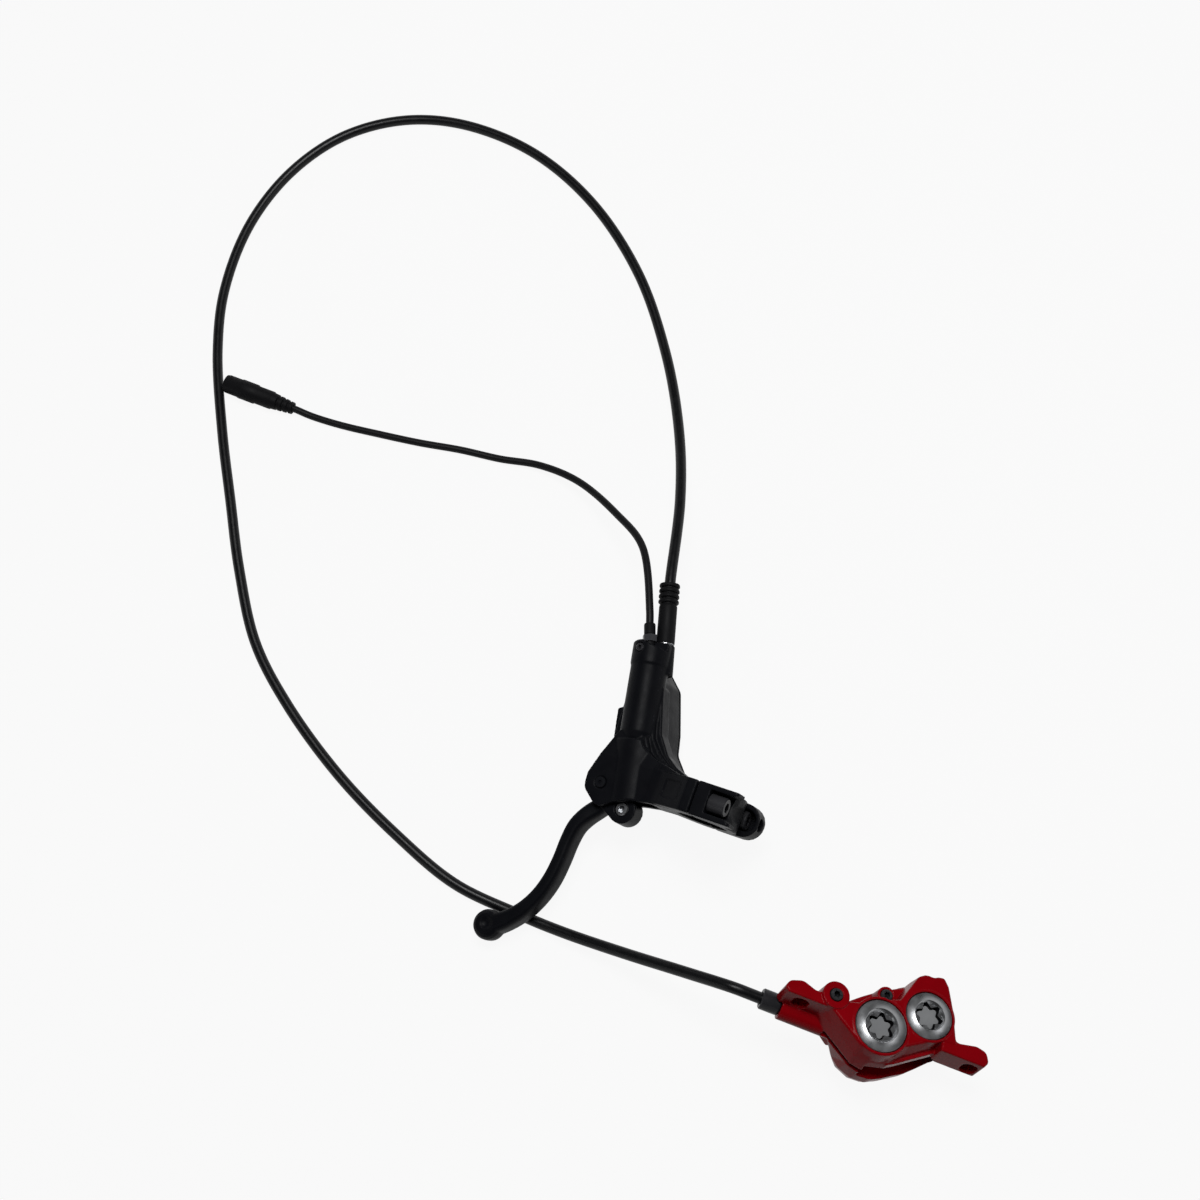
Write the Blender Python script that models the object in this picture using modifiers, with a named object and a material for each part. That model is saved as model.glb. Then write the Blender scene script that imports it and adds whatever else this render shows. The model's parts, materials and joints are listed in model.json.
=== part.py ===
"""Hydraulic disc brake for a bicycle: lever assembly, hose, switch cable and four piston caliper.

Metres, +Z up. The brake lies on a surface at Z = 0, lever underside up. Three frames carry the
pieces: the lever frame (X towards the bar, Y towards the hose, Z away from the surface, origin on
the lever pivot), the bore frame inside it (Z along the master cylinder, Y down) and the caliper
frame (X from the left ear to the right ear, Y away from the wheel's hub, Z along the pistons).
"""
import math

import bmesh
import bpy
from mathutils import Matrix, Vector

MM = 0.001
DEG = math.radians(1.0)
CLEARANCE = 0.3 * MM
SEAT_GAP = 0.15 * MM
ROUND_STEPS = 16
SMALL_STEPS = 10
ARC_STEPS = 2

# Middle of the two assemblies on the surface, which is the origin
CENTRE_X = 104.2 * MM
CENTRE_Y = -87.5 * MM

# Where the two assemblies lie
LEVER_PLACE = (32.98 * MM - CENTRE_X, -88.71 * MM - CENTRE_Y, 23.7 * MM)
LEVER_TURN = (6.5 * DEG, -15.5 * DEG, -4.0 * DEG)
CALIPER_PLACE = (175.71 * MM - CENTRE_X, -155.93 * MM - CENTRE_Y, 43.5 * MM)
CALIPER_TURN = (-18.0 * DEG, 13.0 * DEG, 1.0 * DEG)

# Hose and cable, with the places they pass on and over the surface, in millimetres
HOSE_RADIUS = 2.5 * MM
CABLE_RADIUS = 1.75 * MM
HOSE_ROUTE = (
    (25.0, 50.6, 21.0), (12.7, 88.9, 10.5), (-6.9, 130.7, 3.6), (-33.1, 169.8, 2.6), (-68.4, 202.8, 2.6),
    (-107.2, 223.0, 2.6), (-147.9, 229.4, 2.6), (-179.0, 223.5, 2.6), (-205.7, 206.7, 2.6), (-224.6, 180.1, 2.6),
    (-234.6, 145.7, 2.6), (-233.8, 106.7, 2.6), (-224.8, 73.8, 2.6), (-206.5, 33.2, 2.6), (-189.0, -0.4, 2.6),
    (-171.5, -33.3, 2.6), (-150.7, -65.5, 2.6), (-125.2, -89.7, 2.6), (-90.5, -114.3, 2.6), (-56.0, -132.7, 2.6),
    (-22.6, -146.4, 2.6), (9.9, -151.1, 2.6), (30.3, -153.2, 5.5), (59.6, -155.1, 15.0), (87.4, -156.6, 28.0))
CABLE_ROUTE = (
    (15.8, 21.6, 27.0), (-2.0, 36.8, 19.0), (-26.8, 51.5, 9.0), (-48.3, 56.4, 3.6), (-68.1, 55.2, 1.8),
    (-88.4, 54.6, 1.8), (-108.6, 52.9, 1.8), (-129.3, 52.0, 1.8), (-150.6, 51.5, 1.8), (-166.0, 52.1, 2.3))
CONNECTOR_BIG_END = (-212.6, 56.7, 5.0)
CONNECTOR_SMALL_END = (-177.2, 53.3, 3.5)

# Handlebar clamp
BAR_RADIUS = 11.1 * MM
BAR_X = 47.2 * MM
CLAMP_WIDTH = 14.8 * MM
CLAMP_Y = 6.0 * MM
CLAMP_SPLIT = 0.6 * MM
CLAMP_BOLT_RADIUS = 2.5 * MM
CLAMP_BOLT_OFFSET = 15.3 * MM
CLAMP_BOLT_HEAD_RADIUS = 3.75 * MM
CLAMP_BOLT_HEAD = 6.2 * MM
CLAMP_BOLT_SEAT = 7.6 * MM
CLAMP_BOLT_REACH = 4.8 * MM

# Lever housing, pivot and blade
HOUSING_HALF = 9.0 * MM
SLOT_HALF = 5.4 * MM
HUB_HALF = 5.0 * MM
HUB_RADIUS = 7.3 * MM
PIVOT_RADIUS = 2.5 * MM
BUSH_WALL = 0.8 * MM
PIN_ARM = 14.3 * MM
PIN_ANGLE = -33.0 * DEG
BOSS_RADIUS = 6.4 * MM
CROSS_PIN_RADIUS = 3.0 * MM
BLADE_HALF_HEIGHT = 5.8 * MM
BLADE_PATH = (
    (4.0, -6.5, 3.4, 4.6), (-0.5, -11.2, 3.9, 4.9), (-4.0, -15.6, 3.7, 5.5), (-6.8, -21.0, 3.4, 5.8),
    (-7.9, -28.0, 3.2, 5.8), (-8.2, -37.0, 3.1, 5.8), (-9.3, -46.5, 3.2, 5.8), (-11.9, -55.0, 3.3, 5.8),
    (-16.2, -62.8, 3.6, 5.8), (-21.5, -68.8, 4.0, 5.8), (-26.5, -72.6, 4.6, 5.7), (-29.5, -74.2, 5.0, 5.4))
TIP_X = -30.0 * MM
TIP_Y = -74.5 * MM

# Master cylinder
BORE_LEAN = 11.8 * DEG
BORE_V = 10.4 * MM
BORE_RADIUS = 5.25 * MM
BORE_START = -3.0 * MM
BORE_END = 56.0 * MM
BARREL_RADIUS = 8.4 * MM
HEAD_START = 54.0 * MM
HEAD_END = 65.8 * MM
HEAD_RADIUS = 8.8 * MM
PORT_BOSS_RADIUS = 4.7 * MM
PISTON_RADIUS = BORE_RADIUS - SEAT_GAP
PISTON_START = 10.4 * MM
PISTON_LENGTH_MASTER = 28.0 * MM
PUSHROD_LENGTH = 21.5 * MM
PUSHROD_RADIUS = 1.5 * MM
BALL_RADIUS = 2.2 * MM
CLIP_START = 8.4 * MM
SPRING_WIRE = 0.45 * MM
SPRING_RADIUS = 3.7 * MM
SPRING_TURNS = 5

# Reservoir under the cylinder
RESERVOIR_DROP = -24.7 * MM
DIAPHRAGM_THICKNESS = 0.9 * MM
COVER_THICKNESS = 2.2 * MM
COVER_SCREW_RADIUS = 1.2 * MM
COVER_SCREWS = ((1.6, 15.4), (17.2, 15.2), (-3.6, 53.8), (4.0, 50.0))
LEVER_BLEED = (-5.4 * MM, 62.2 * MM)

# Hose fittings
PORT_RADIUS = 3.6 * MM
PORT_DEPTH = 7.6 * MM
HOSE_PORT = (4.7 * MM, 1.8 * MM)
HOSE_PORT_TURN = (0.0, -7.6 * DEG, 0.0)
SWITCH_PORT = (-2.8 * MM, 0.0)
SWITCH_PORT_TURN = (0.0, -9.8 * DEG, 0.0)

# Caliper
EAR_SPACING = 74.2 * MM
EAR_HOLE_Z = -9.0 * MM
EAR_BOTTOM = -15.0 * MM
CALIPER_FACE = -0.8 * MM
ROTOR_PLANE = -18.3 * MM
ROTOR_GAP = 3.4 * MM
ROTOR_CENTRE = (48.95 * MM, -63.1 * MM)
SLOT_RADIUS = 93.0 * MM
BRIDGE_WALL = 5.5 * MM
BRIDGE_RADIUS = SLOT_RADIUS + BRIDGE_WALL
PAD_X = 5.0 * MM
PAD_Y = 6.1 * MM
PAD_TURN = 32.4 * DEG
PISTON_SPACING = 22.0 * MM
LARGE_CENTRE = (PAD_X - PISTON_SPACING / 2 * math.cos(PAD_TURN), PAD_Y - PISTON_SPACING / 2 * math.sin(PAD_TURN))
SMALL_CENTRE = (PAD_X + PISTON_SPACING / 2 * math.cos(PAD_TURN), PAD_Y + PISTON_SPACING / 2 * math.sin(PAD_TURN))
LARGE_PISTON_RADIUS = 9.0 * MM
SMALL_PISTON_RADIUS = 8.0 * MM
LARGE_CAP_RADIUS = 11.0 * MM
SMALL_CAP_RADIUS = 10.0 * MM
PISTON_BORE_END = -31.3 * MM
PAD_PIN_X = -2.9 * MM
PAD_PIN_Y = 12.3 * MM
PAD_PIN_RADIUS = 1.5 * MM
PIN_PLACE = (PAD_X + PAD_PIN_X * math.cos(PAD_TURN) - PAD_PIN_Y * math.sin(PAD_TURN),
             PAD_Y + PAD_PIN_X * math.sin(PAD_TURN) + PAD_PIN_Y * math.cos(PAD_TURN))
BLEED_X = -25.3 * MM
BLEED_Y = 5.5 * MM
CALIPER_PORT = (-42.4 * MM, 0.9 * MM, -20.0 * MM)
CALIPER_LEVELS = (
    (-17.6, (
        (-31.0, 5.0), (-19.8, 5.8), (-14.3, 7.6), (-8.8, 12.0), (-2.6, 14.2), (0.8, 15.8), (6.8, 28.6), (10.2, 30.6),
        (20.2, 32.0), (22.8, 28.0), (26.2, 18.0), (28.4, 7.4), (29.0, 3.2), (25.2, 2.2), (11.0, -6.8), (4.6, -11.8),
        (-4.5, -14.2), (-9.5, -13.4), (-17.1, -8.0), (-23.5, -3.7), (-30.0, 0.8))),
    (-9.0, (
        (-31.0, 5.2), (-19.8, 5.6), (-14.3, 7.3), (-8.6, 11.6), (-2.4, 13.8), (1.2, 15.2), (6.6, 27.8), (9.4, 29.6),
        (18.2, 31.2), (21.2, 27.8), (25.0, 18.0), (27.8, 7.3), (28.8, 3.6), (22.0, 2.6), (9.6, -6.0), (3.4, -11.2),
        (-4.5, -13.2), (-10.4, -12.0), (-16.8, -7.4), (-22.2, -3.6), (-29.5, 1.2))),
    (-0.8, (
        (-30.4, 5.0), (-19.8, 5.1), (-14.3, 6.6), (-8.2, 10.9), (-2.4, 13.0), (1.6, 14.4), (6.9, 27.0), (9.4, 28.8),
        (17.6, 30.6), (20.1, 27.5), (24.0, 17.8), (27.0, 7.2), (28.3, 4.2), (19.8, 3.6), (8.0, -3.8), (2.2, -9.2),
        (-5.0, -11.6), (-10.9, -10.6), (-16.6, -6.4), (-21.3, -3.3), (-28.8, 2.3))))
INNER_LEVELS = (
    (-35.0, (
        (-12.0, 0.0), (-9.0, 6.5), (-3.0, 11.0), (5.0, 20.5), (12.0, 24.5), (19.5, 24.0), (23.5, 14.0), (23.0, 6.0),
        (13.1, -5.0), (6.5, -9.4), (1.2, -11.6), (-4.6, -11.8), (-10.1, -9.6), (-12.6, -5.6))),
    (-29.0, (
        (-17.0, 1.0), (-12.0, 9.5), (-4.0, 14.5), (4.0, 25.5), (12.0, 30.0), (21.0, 29.0), (26.2, 16.0), (26.6, 5.6),
        (15.0, -5.4), (7.0, -10.6), (1.6, -13.4), (-4.6, -13.8), (-10.4, -11.6), (-15.6, -6.4))),
    (-16.9, (
        (-28.0, 2.0), (-15.0, 9.5), (-4.0, 15.5), (4.0, 27.0), (10.5, 31.0), (21.5, 30.5), (27.4, 16.0), (28.0, 4.2),
        (16.0, -6.6), (7.4, -11.6), (1.6, -13.8), (-4.6, -14.0), (-10.4, -12.4), (-22.4, -4.4))))

# Colours as base colour, roughness, metallic
FINISHES = {
    "black_paint": ((0.012, 0.013, 0.017), 0.42, 0.3),
    "black_steel": ((0.02, 0.02, 0.024), 0.35, 0.8),
    "black_rubber": ((0.012, 0.012, 0.013), 0.75, 0.0),
    "hose_black": ((0.010, 0.010, 0.012), 0.45, 0.0),
    "caliper_red": ((0.26, 0.004, 0.008), 0.3, 0.4),
    "machined_silver": ((0.55, 0.56, 0.58), 0.28, 1.0),
    "steel": ((0.45, 0.45, 0.46), 0.35, 1.0),
    "brass": ((0.55, 0.38, 0.14), 0.35, 1.0),
    "lining": ((0.10, 0.07, 0.05), 0.9, 0.0),
    "phenolic": ((0.05, 0.045, 0.04), 0.6, 0.0),
    "seal_rubber": ((0.02, 0.02, 0.02), 0.8, 0.0),
}


def clear_scene():
    for obj in list(bpy.data.objects):
        bpy.data.objects.remove(obj, do_unlink=True)


def new_collection(name):
    collection = bpy.data.collections.new(name)
    bpy.context.scene.collection.children.link(collection)
    return collection


def finish(name):
    """Returns the named Principled material, made on first use."""
    found = bpy.data.materials.get(name)
    if found:
        return found
    colour, roughness, metallic = FINISHES[name]
    made = bpy.data.materials.new(name)
    made.use_nodes = True
    shader = made.node_tree.nodes["Principled BSDF"]
    shader.inputs["Base Color"].default_value = (*colour, 1.0)
    shader.inputs["Roughness"].default_value = roughness
    shader.inputs["Metallic"].default_value = metallic
    return made


def frame(name, parent=None, place=(0, 0, 0), turn=(0, 0, 0), order="XYZ"):
    """An empty that carries pieces."""
    empty = bpy.data.objects.new(name, None)
    empty.rotation_mode = order
    empty.location = place
    empty.rotation_euler = turn
    empty.parent = parent
    PARTS.objects.link(empty)
    bpy.context.view_layer.update()
    return empty


def place_object(obj, parent, place, turn, colour):
    """Puts an object on its frame, as a part when it has a colour and as a hidden tool when not."""
    obj.parent = parent
    obj.location = place
    obj.rotation_euler = turn
    if colour:
        PARTS.objects.link(obj)
        obj.data.materials.append(finish(colour))
    else:
        TOOLS.objects.link(obj)
        obj.display_type = "WIRE"
        obj.hide_render = True
    return obj


def smooth(obj, angle=35.0):
    obj.data.shade_smooth()
    obj.data.set_sharp_from_angle(angle=angle * DEG)
    return obj


def mesh_object(name, mesh, parent, colour=None, place=(0, 0, 0), turn=(0, 0, 0)):
    obj = bpy.data.objects.new(name, mesh)
    place_object(obj, parent, place, turn, colour)
    return smooth(obj)


def rod(name, parent, start, end, radius, colour=None, end_radius=None, steps=ROUND_STEPS, place=(0, 0, 0)):
    """A round bar or cone between two points of its frame."""
    start, end = Vector(start), Vector(end)
    along = end - start
    bm = bmesh.new()
    turn = Vector((0, 0, 1)).rotation_difference(along).to_matrix().to_4x4()
    bmesh.ops.create_cone(
        bm, cap_ends=True, segments=steps, radius1=radius,
        radius2=radius if end_radius is None else end_radius, depth=along.length,
        matrix=Matrix.Translation((start + end) / 2) @ turn)
    mesh = bpy.data.meshes.new(name)
    bm.to_mesh(mesh)
    bm.free()
    return mesh_object(name, mesh, parent, colour, place)


def block(name, parent, low, high, colour=None, place=(0, 0, 0), turn=(0, 0, 0), rounding=0.0):
    """A box between two corners of its frame."""
    low, high = Vector(low), Vector(high)
    size = high - low
    bm = bmesh.new()
    bmesh.ops.create_cube(bm, size=1.0, matrix=Matrix.Translation((low + high) / 2) @ Matrix.Diagonal((*size, 1)))
    mesh = bpy.data.meshes.new(name)
    bm.to_mesh(mesh)
    bm.free()
    obj = mesh_object(name, mesh, parent, colour, place, turn)
    if rounding:
        round_edges(obj, rounding)
    return obj


def ball(name, parent, centre, radius, colour=None, steps=SMALL_STEPS):
    bm = bmesh.new()
    bmesh.ops.create_uvsphere(bm, u_segments=steps, v_segments=steps // 2, radius=radius,
                              matrix=Matrix.Translation(centre))
    mesh = bpy.data.meshes.new(name)
    bm.to_mesh(mesh)
    bm.free()
    return mesh_object(name, mesh, parent, colour)


def round_edges(obj, width, segments=1, angle=40.0):
    bevel = obj.modifiers.new("rounded edges", "BEVEL")
    bevel.width = width
    bevel.segments = segments
    bevel.limit_method = "ANGLE"
    bevel.angle_limit = angle * DEG
    bevel.use_clamp_overlap = True
    return obj


def rounded(corners, steps=ARC_STEPS):
    """Outline points in metres from corners (x, y, fillet radius) in millimetres."""
    count = len(corners)
    points = []
    for index in range(count):
        before = Vector(corners[index - 1][:2])
        here = Vector(corners[index][:2])
        after = Vector(corners[(index + 1) % count][:2])
        radius = corners[index][2] if len(corners[index]) > 2 else 0.0
        to_before = (before - here).normalized()
        to_after = (after - here).normalized()
        half = to_before.angle(to_after) / 2
        if radius <= 0 or half > 88 * DEG:
            points.append(here * MM)
            continue
        room = 0.49 * min((before - here).length, (after - here).length)
        reach = min(radius / math.tan(half), room)
        radius = reach * math.tan(half)
        centre = here + (to_before + to_after).normalized() * (radius / math.sin(half))
        first = here + to_before * reach - centre
        last = here + to_after * reach - centre
        sweep = first.angle_signed(last)
        for step in range(steps + 1):
            turn = -sweep * step / steps
            spun = Matrix.Rotation(turn, 2) @ first
            points.append((centre + spun) * MM)
    return [(p.x, p.y) for p in points]


def circle_points(x, y, radius, steps=ROUND_STEPS):
    return [(x + radius * math.cos(2 * math.pi * k / steps), y + radius * math.sin(2 * math.pi * k / steps))
            for k in range(steps)]


def slab(name, parent, outline, low, high, colour=None, place=(0, 0, 0), turn=(0, 0, 0), holes=()):
    """A flat piece: an outline filled and extruded between two heights of its frame."""
    curve = bpy.data.curves.new(name, "CURVE")
    curve.dimensions = "2D"
    curve.fill_mode = "BOTH"
    curve.extrude = (high - low) / 2
    for points in (outline, *holes):
        spline = curve.splines.new("POLY")
        spline.points.add(len(points) - 1)
        for point, (x, y) in zip(spline.points, points):
            point.co = (x, y, 0, 1)
        spline.use_cyclic_u = True
    flat = bpy.data.objects.new(name + " outline", curve)
    TOOLS.objects.link(flat)
    bpy.context.view_layer.update()
    mesh = bpy.data.meshes.new_from_object(flat.evaluated_get(bpy.context.evaluated_depsgraph_get()))
    bpy.data.objects.remove(flat)
    bm = bmesh.new()
    bm.from_mesh(mesh)
    bmesh.ops.remove_doubles(bm, verts=bm.verts, dist=0.002 * MM)
    bmesh.ops.translate(bm, verts=bm.verts, vec=(0, 0, (low + high) / 2))
    bmesh.ops.dissolve_limit(bm, angle_limit=0.2 * DEG, verts=bm.verts, edges=bm.edges)
    bmesh.ops.recalc_face_normals(bm, faces=bm.faces)
    bm.to_mesh(mesh)
    bm.free()
    mesh.name = name
    return mesh_object(name, mesh, parent, colour, place, turn)


def inset_outline(outline, inset):
    """The outline moved inwards by a distance, for walls and drafted sides."""
    count = len(outline)
    area = sum(outline[i - 1][0] * outline[i][1] - outline[i][0] * outline[i - 1][1] for i in range(count))
    side = 1.0 if area > 0 else -1.0
    moved = []
    for index in range(count):
        before, here, after = (Vector(outline[(index + k) % count]) for k in (-1, 0, 1))
        first = (here - before).normalized()
        second = (after - here).normalized()
        normal = Vector((-(first.y + second.y), first.x + second.x)).normalized() * side
        stretch = max(0.5, math.cos(first.angle(second) / 2))
        moved.append(tuple(here + normal * (inset / stretch)))
    return moved


def drafted(name, parent, outline, levels, colour=None, place=(0, 0, 0), turn=(0, 0, 0)):
    """A cast block: one outline, moved inwards by its own amount at each height."""
    bm = bmesh.new()
    rings = []
    for height, inset in levels:
        loop = inset_outline(outline, inset) if inset else outline
        rings.append([bm.verts.new((x, y, height)) for x, y in loop])
    for lower, upper in zip(rings, rings[1:]):
        for index in range(len(outline)):
            bm.faces.new((lower[index - 1], lower[index], upper[index], upper[index - 1]))
    bm.faces.new(list(reversed(rings[0])))
    bm.faces.new(rings[-1])
    bmesh.ops.recalc_face_normals(bm, faces=bm.faces)
    mesh = bpy.data.meshes.new(name)
    bm.to_mesh(mesh)
    bm.free()
    return mesh_object(name, mesh, parent, colour, place, turn)


def turned(name, parent, profile, colour=None, place=(0, 0, 0), turn=(0, 0, 0), steps=ROUND_STEPS, ring=False):
    """A turned piece: (radius, height) points in millimetres, down the outer side, top to bottom."""
    mesh = bpy.data.meshes.new(name)
    points = [(radius * MM, 0, height * MM) for radius, height in profile]
    edges = [(index, index + 1) for index in range(len(points) - 1)]
    if ring:
        edges.append((len(points) - 1, 0))
    mesh.from_pydata(points, edges, [])
    obj = mesh_object(name, mesh, parent, colour, place, turn)
    screw = obj.modifiers.new("turned", "SCREW")
    screw.angle = 2 * math.pi
    screw.steps = steps
    screw.render_steps = steps
    screw.use_merge_vertices = True
    screw.merge_threshold = 0.00001
    screw.use_smooth_shade = True
    return obj


def tube(name, parent, points, radius, colour, resolution=2, cyclic=False):
    curve = bpy.data.curves.new(name, "CURVE")
    curve.dimensions = "3D"
    curve.bevel_depth = radius
    curve.bevel_resolution = resolution
    curve.use_fill_caps = True
    spline = curve.splines.new("POLY")
    spline.points.add(len(points) - 1)
    for point, place in zip(spline.points, points):
        point.co = (*place, 1)
    spline.use_cyclic_u = cyclic
    obj = bpy.data.objects.new(name, curve)
    return place_object(obj, parent, (0, 0, 0), (0, 0, 0), colour)


def solid_tube(curve, name, parent, colour=None):
    """Turns a tube into one closed mesh on the same frame."""
    bpy.context.view_layer.update()
    mesh = bpy.data.meshes.new_from_object(curve.evaluated_get(bpy.context.evaluated_depsgraph_get()))
    bpy.data.objects.remove(curve)
    bm = bmesh.new()
    bm.from_mesh(mesh)
    bmesh.ops.remove_doubles(bm, verts=bm.verts, dist=0.001 * MM)
    bmesh.ops.recalc_face_normals(bm, faces=bm.faces)
    bm.to_mesh(mesh)
    bm.free()
    mesh.name = name
    return mesh_object(name, mesh, parent, colour)


def boolean(target, tools, operation):
    for tool in tools:
        step = target.modifiers.new(tool.name, "BOOLEAN")
        step.operation = operation
        step.object = tool
        step.solver = "EXACT"
    return target


def cut(target, *tools):
    return boolean(target, tools, "DIFFERENCE")


def join(target, *tools):
    return boolean(target, tools, "UNION")


def hexagon(across_flats):
    radius = across_flats / math.sqrt(3)
    return circle_points(0, 0, radius, 6)


def lobed(outer, inner, lobes=6, steps=24):
    """A star-like outline with round lobes, as of a lobed driver socket."""
    middle = (outer + inner) / 2
    swing = (outer - inner) / 2
    points = []
    for index in range(steps):
        angle = 2 * math.pi * index / steps
        radius = middle + swing * math.cos(lobes * angle)
        points.append((radius * math.cos(angle), radius * math.sin(angle)))
    return points


def smooth_route(points, spacing):
    """Evenly spaced points on a smooth curve through the route's own points."""
    points = [Vector(p) for p in points]
    ends = [2 * points[0] - points[1], *points, 2 * points[-1] - points[-2]]
    fine = []
    for index in range(1, len(ends) - 2):
        a, b, c, d = ends[index - 1:index + 3]
        knots = [0.0]
        for first, second in ((a, b), (b, c), (c, d)):
            knots.append(knots[-1] + max((second - first).length, 1e-9) ** 0.5)
        for step in range(24):
            t = knots[1] + (knots[2] - knots[1]) * step / 24
            ab = a.lerp(b, (t - knots[0]) / (knots[1] - knots[0]))
            bc = b.lerp(c, (t - knots[1]) / (knots[2] - knots[1]))
            cd = c.lerp(d, (t - knots[2]) / (knots[3] - knots[2]))
            abc = ab.lerp(bc, (t - knots[0]) / (knots[2] - knots[0]))
            bcd = bc.lerp(cd, (t - knots[1]) / (knots[3] - knots[1]))
            fine.append(abc.lerp(bcd, (t - knots[1]) / (knots[2] - knots[1])))
    fine.append(points[-1])
    lengths = [0.0]
    for first, second in zip(fine, fine[1:]):
        lengths.append(lengths[-1] + (second - first).length)
    count = max(2, round(lengths[-1] / spacing))
    even = []
    index = 0
    for step in range(count + 1):
        target = lengths[-1] * step / count
        while index < len(fine) - 2 and lengths[index + 1] < target:
            index += 1
        span = max(lengths[index + 1] - lengths[index], 1e-12)
        even.append(fine[index].lerp(fine[index + 1], (target - lengths[index]) / span))
    return even


def lofted(name, parent, sections, colour=None, place=(0, 0, 0), turn=(0, 0, 0)):
    """A solid through closed sections that all have the same number of points."""
    bm = bmesh.new()
    rings = [[bm.verts.new(p) for p in section] for section in sections]
    count = len(sections[0])
    for lower, upper in zip(rings, rings[1:]):
        for index in range(count):
            bm.faces.new((lower[index - 1], lower[index], upper[index], upper[index - 1]))
    bmesh.ops.triangulate(bm, faces=bm.faces)
    bm.faces.new(list(reversed(rings[0])))
    bm.faces.new(rings[-1])
    bmesh.ops.recalc_face_normals(bm, faces=bm.faces)
    mesh = bpy.data.meshes.new(name)
    bm.to_mesh(mesh)
    bm.free()
    return mesh_object(name, mesh, parent, colour, place, turn)


def cast(name, parent, levels, colour=None):
    """A cast block with sloping sides: the same corners, in millimetres, at several heights."""
    sections = [[(x * MM, y * MM, height * MM) for x, y in corners] for height, corners in levels]
    return lofted(name, parent, sections, colour)


def hull_of_circles(x1, y1, r1, x2, y2, r2, steps=9):
    """Outline of a link: two circles, in metres, joined by their outer tangents."""
    gap = math.hypot(x2 - x1, y2 - y1)
    heading = math.atan2(y2 - y1, x2 - x1)
    spread = math.acos((r1 - r2) / gap)
    points = []
    for k in range(steps + 1):
        angle = heading + spread + (2 * math.pi - 2 * spread) * k / steps
        points.append((x1 + r1 * math.cos(angle), y1 + r1 * math.sin(angle)))
    for k in range(steps + 1):
        angle = heading - spread + 2 * spread * k / steps
        points.append((x2 + r2 * math.cos(angle), y2 + r2 * math.sin(angle)))
    return points


def annulus(name, parent, outer, inner, low, high, colour, place=(0, 0, 0), steps=ROUND_STEPS):
    """A ring round Z of its frame, radii and heights in metres."""
    profile = [(inner / MM, high / MM), (outer / MM, high / MM), (outer / MM, low / MM), (inner / MM, low / MM)]
    return turned(name, parent, profile, colour, place, steps=steps, ring=True)


clear_scene()
PARTS = new_collection("hydraulic_disc_brake")
TOOLS = new_collection("cutters")

lever_frame = frame("lever_frame", None, LEVER_PLACE, LEVER_TURN, "YXZ")
bore_frame = frame("bore_frame", lever_frame,
                   (BORE_V * math.cos(BORE_LEAN), BORE_V * math.sin(BORE_LEAN), 0), (-90 * DEG, 0, BORE_LEAN))
hose_port = frame("hose_port_frame", bore_frame, (*HOSE_PORT, HEAD_END), HOSE_PORT_TURN)
switch_port = frame("switch_port_frame", bore_frame, (*SWITCH_PORT, HEAD_END), SWITCH_PORT_TURN)
clamp_frame = frame("clamp_frame", lever_frame, (BAR_X, CLAMP_Y, 0), (0, 0, 0))
caliper_frame = frame("caliper_frame", None, CALIPER_PLACE, CALIPER_TURN, "YXZ")
pad_frame = frame("pad_frame", caliper_frame, (PAD_X, PAD_Y, 0), (0, 0, PAD_TURN))
caliper_port = frame("caliper_port_frame", caliper_frame, CALIPER_PORT, (0, -90 * DEG, 0))
pin_x = PIN_ARM * math.cos(PIN_ANGLE)
pin_y = PIN_ARM * math.sin(PIN_ANGLE)

# Master cylinder casting: clevis, arm, clamp half, barrel, head and reservoir in one
housing_outline = rounded([
    (-1.0, 25.4, 4), (-7.6, 2.4, 6), (-6.9, -4.2, 5), (1.6, -10.8, 4), (8.2, -6.4, 3), (16.2, -3.2, 6),
    (24.0, -1.9, 4), (36.0, -1.4), (36.0, 13.4), (27.0, 15.6, 6), (19.4, 17.2, 5), (12.8, 20.8, 5), (9.0, 27.0, 3)])
housing = slab("master_cylinder_body", lever_frame, housing_outline, -HOUSING_HALF, HOUSING_HALF, "black_paint")
neck = block("neck slope", lever_frame, (-20 * MM, 0, 0), (24 * MM, 24 * MM, 9 * MM), place=(0, 12.5 * MM, HOUSING_HALF),
             turn=(-11 * DEG, 0, 0))
cut(housing, neck)
swelling = slab("swelling", lever_frame, inset_outline(housing_outline, 0.1 * MM), 2 * MM, HOUSING_HALF + 4 * MM)
boolean(swelling, [rod("swelling limit", bore_frame, (1.2 * MM, 0.6 * MM, -16 * MM), (1.2 * MM, 0.6 * MM, 20.4 * MM),
                       HOUSING_HALF + 1.9 * MM, steps=36)], "INTERSECT")
clamp_half = slab("clamp half", lever_frame, rounded([
    (BAR_X / MM - 0.5 * CLAMP_SPLIT / MM, 20.2), (42.4, 20.2, 3), (36.5, 16.6, 6), (26.5, 9.8, 8), (20.0, 8.7),
    (20.0, -8.9), (29.0, -10.4, 7), (34.6, -16.0, 6), (41.0, -20.2, 3.5),
    (BAR_X / MM - 0.5 * CLAMP_SPLIT / MM, -20.2)]),
    -(CLAMP_Y + CLAMP_WIDTH / 2), -(CLAMP_Y - CLAMP_WIDTH / 2), turn=(90 * DEG, 0, 0))
round_edges(clamp_half, 0.7 * MM)
barrel = turned("barrel", bore_frame, [
    (0, 66), (BARREL_RADIUS / MM - 1.2, 66), (BARREL_RADIUS / MM, 64.8), (BARREL_RADIUS / MM, 24.5),
    (BARREL_RADIUS / MM - 0.9, 21.5), (BARREL_RADIUS / MM - 2.8, 19.4), (0, 18.6)], steps=20)
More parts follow.
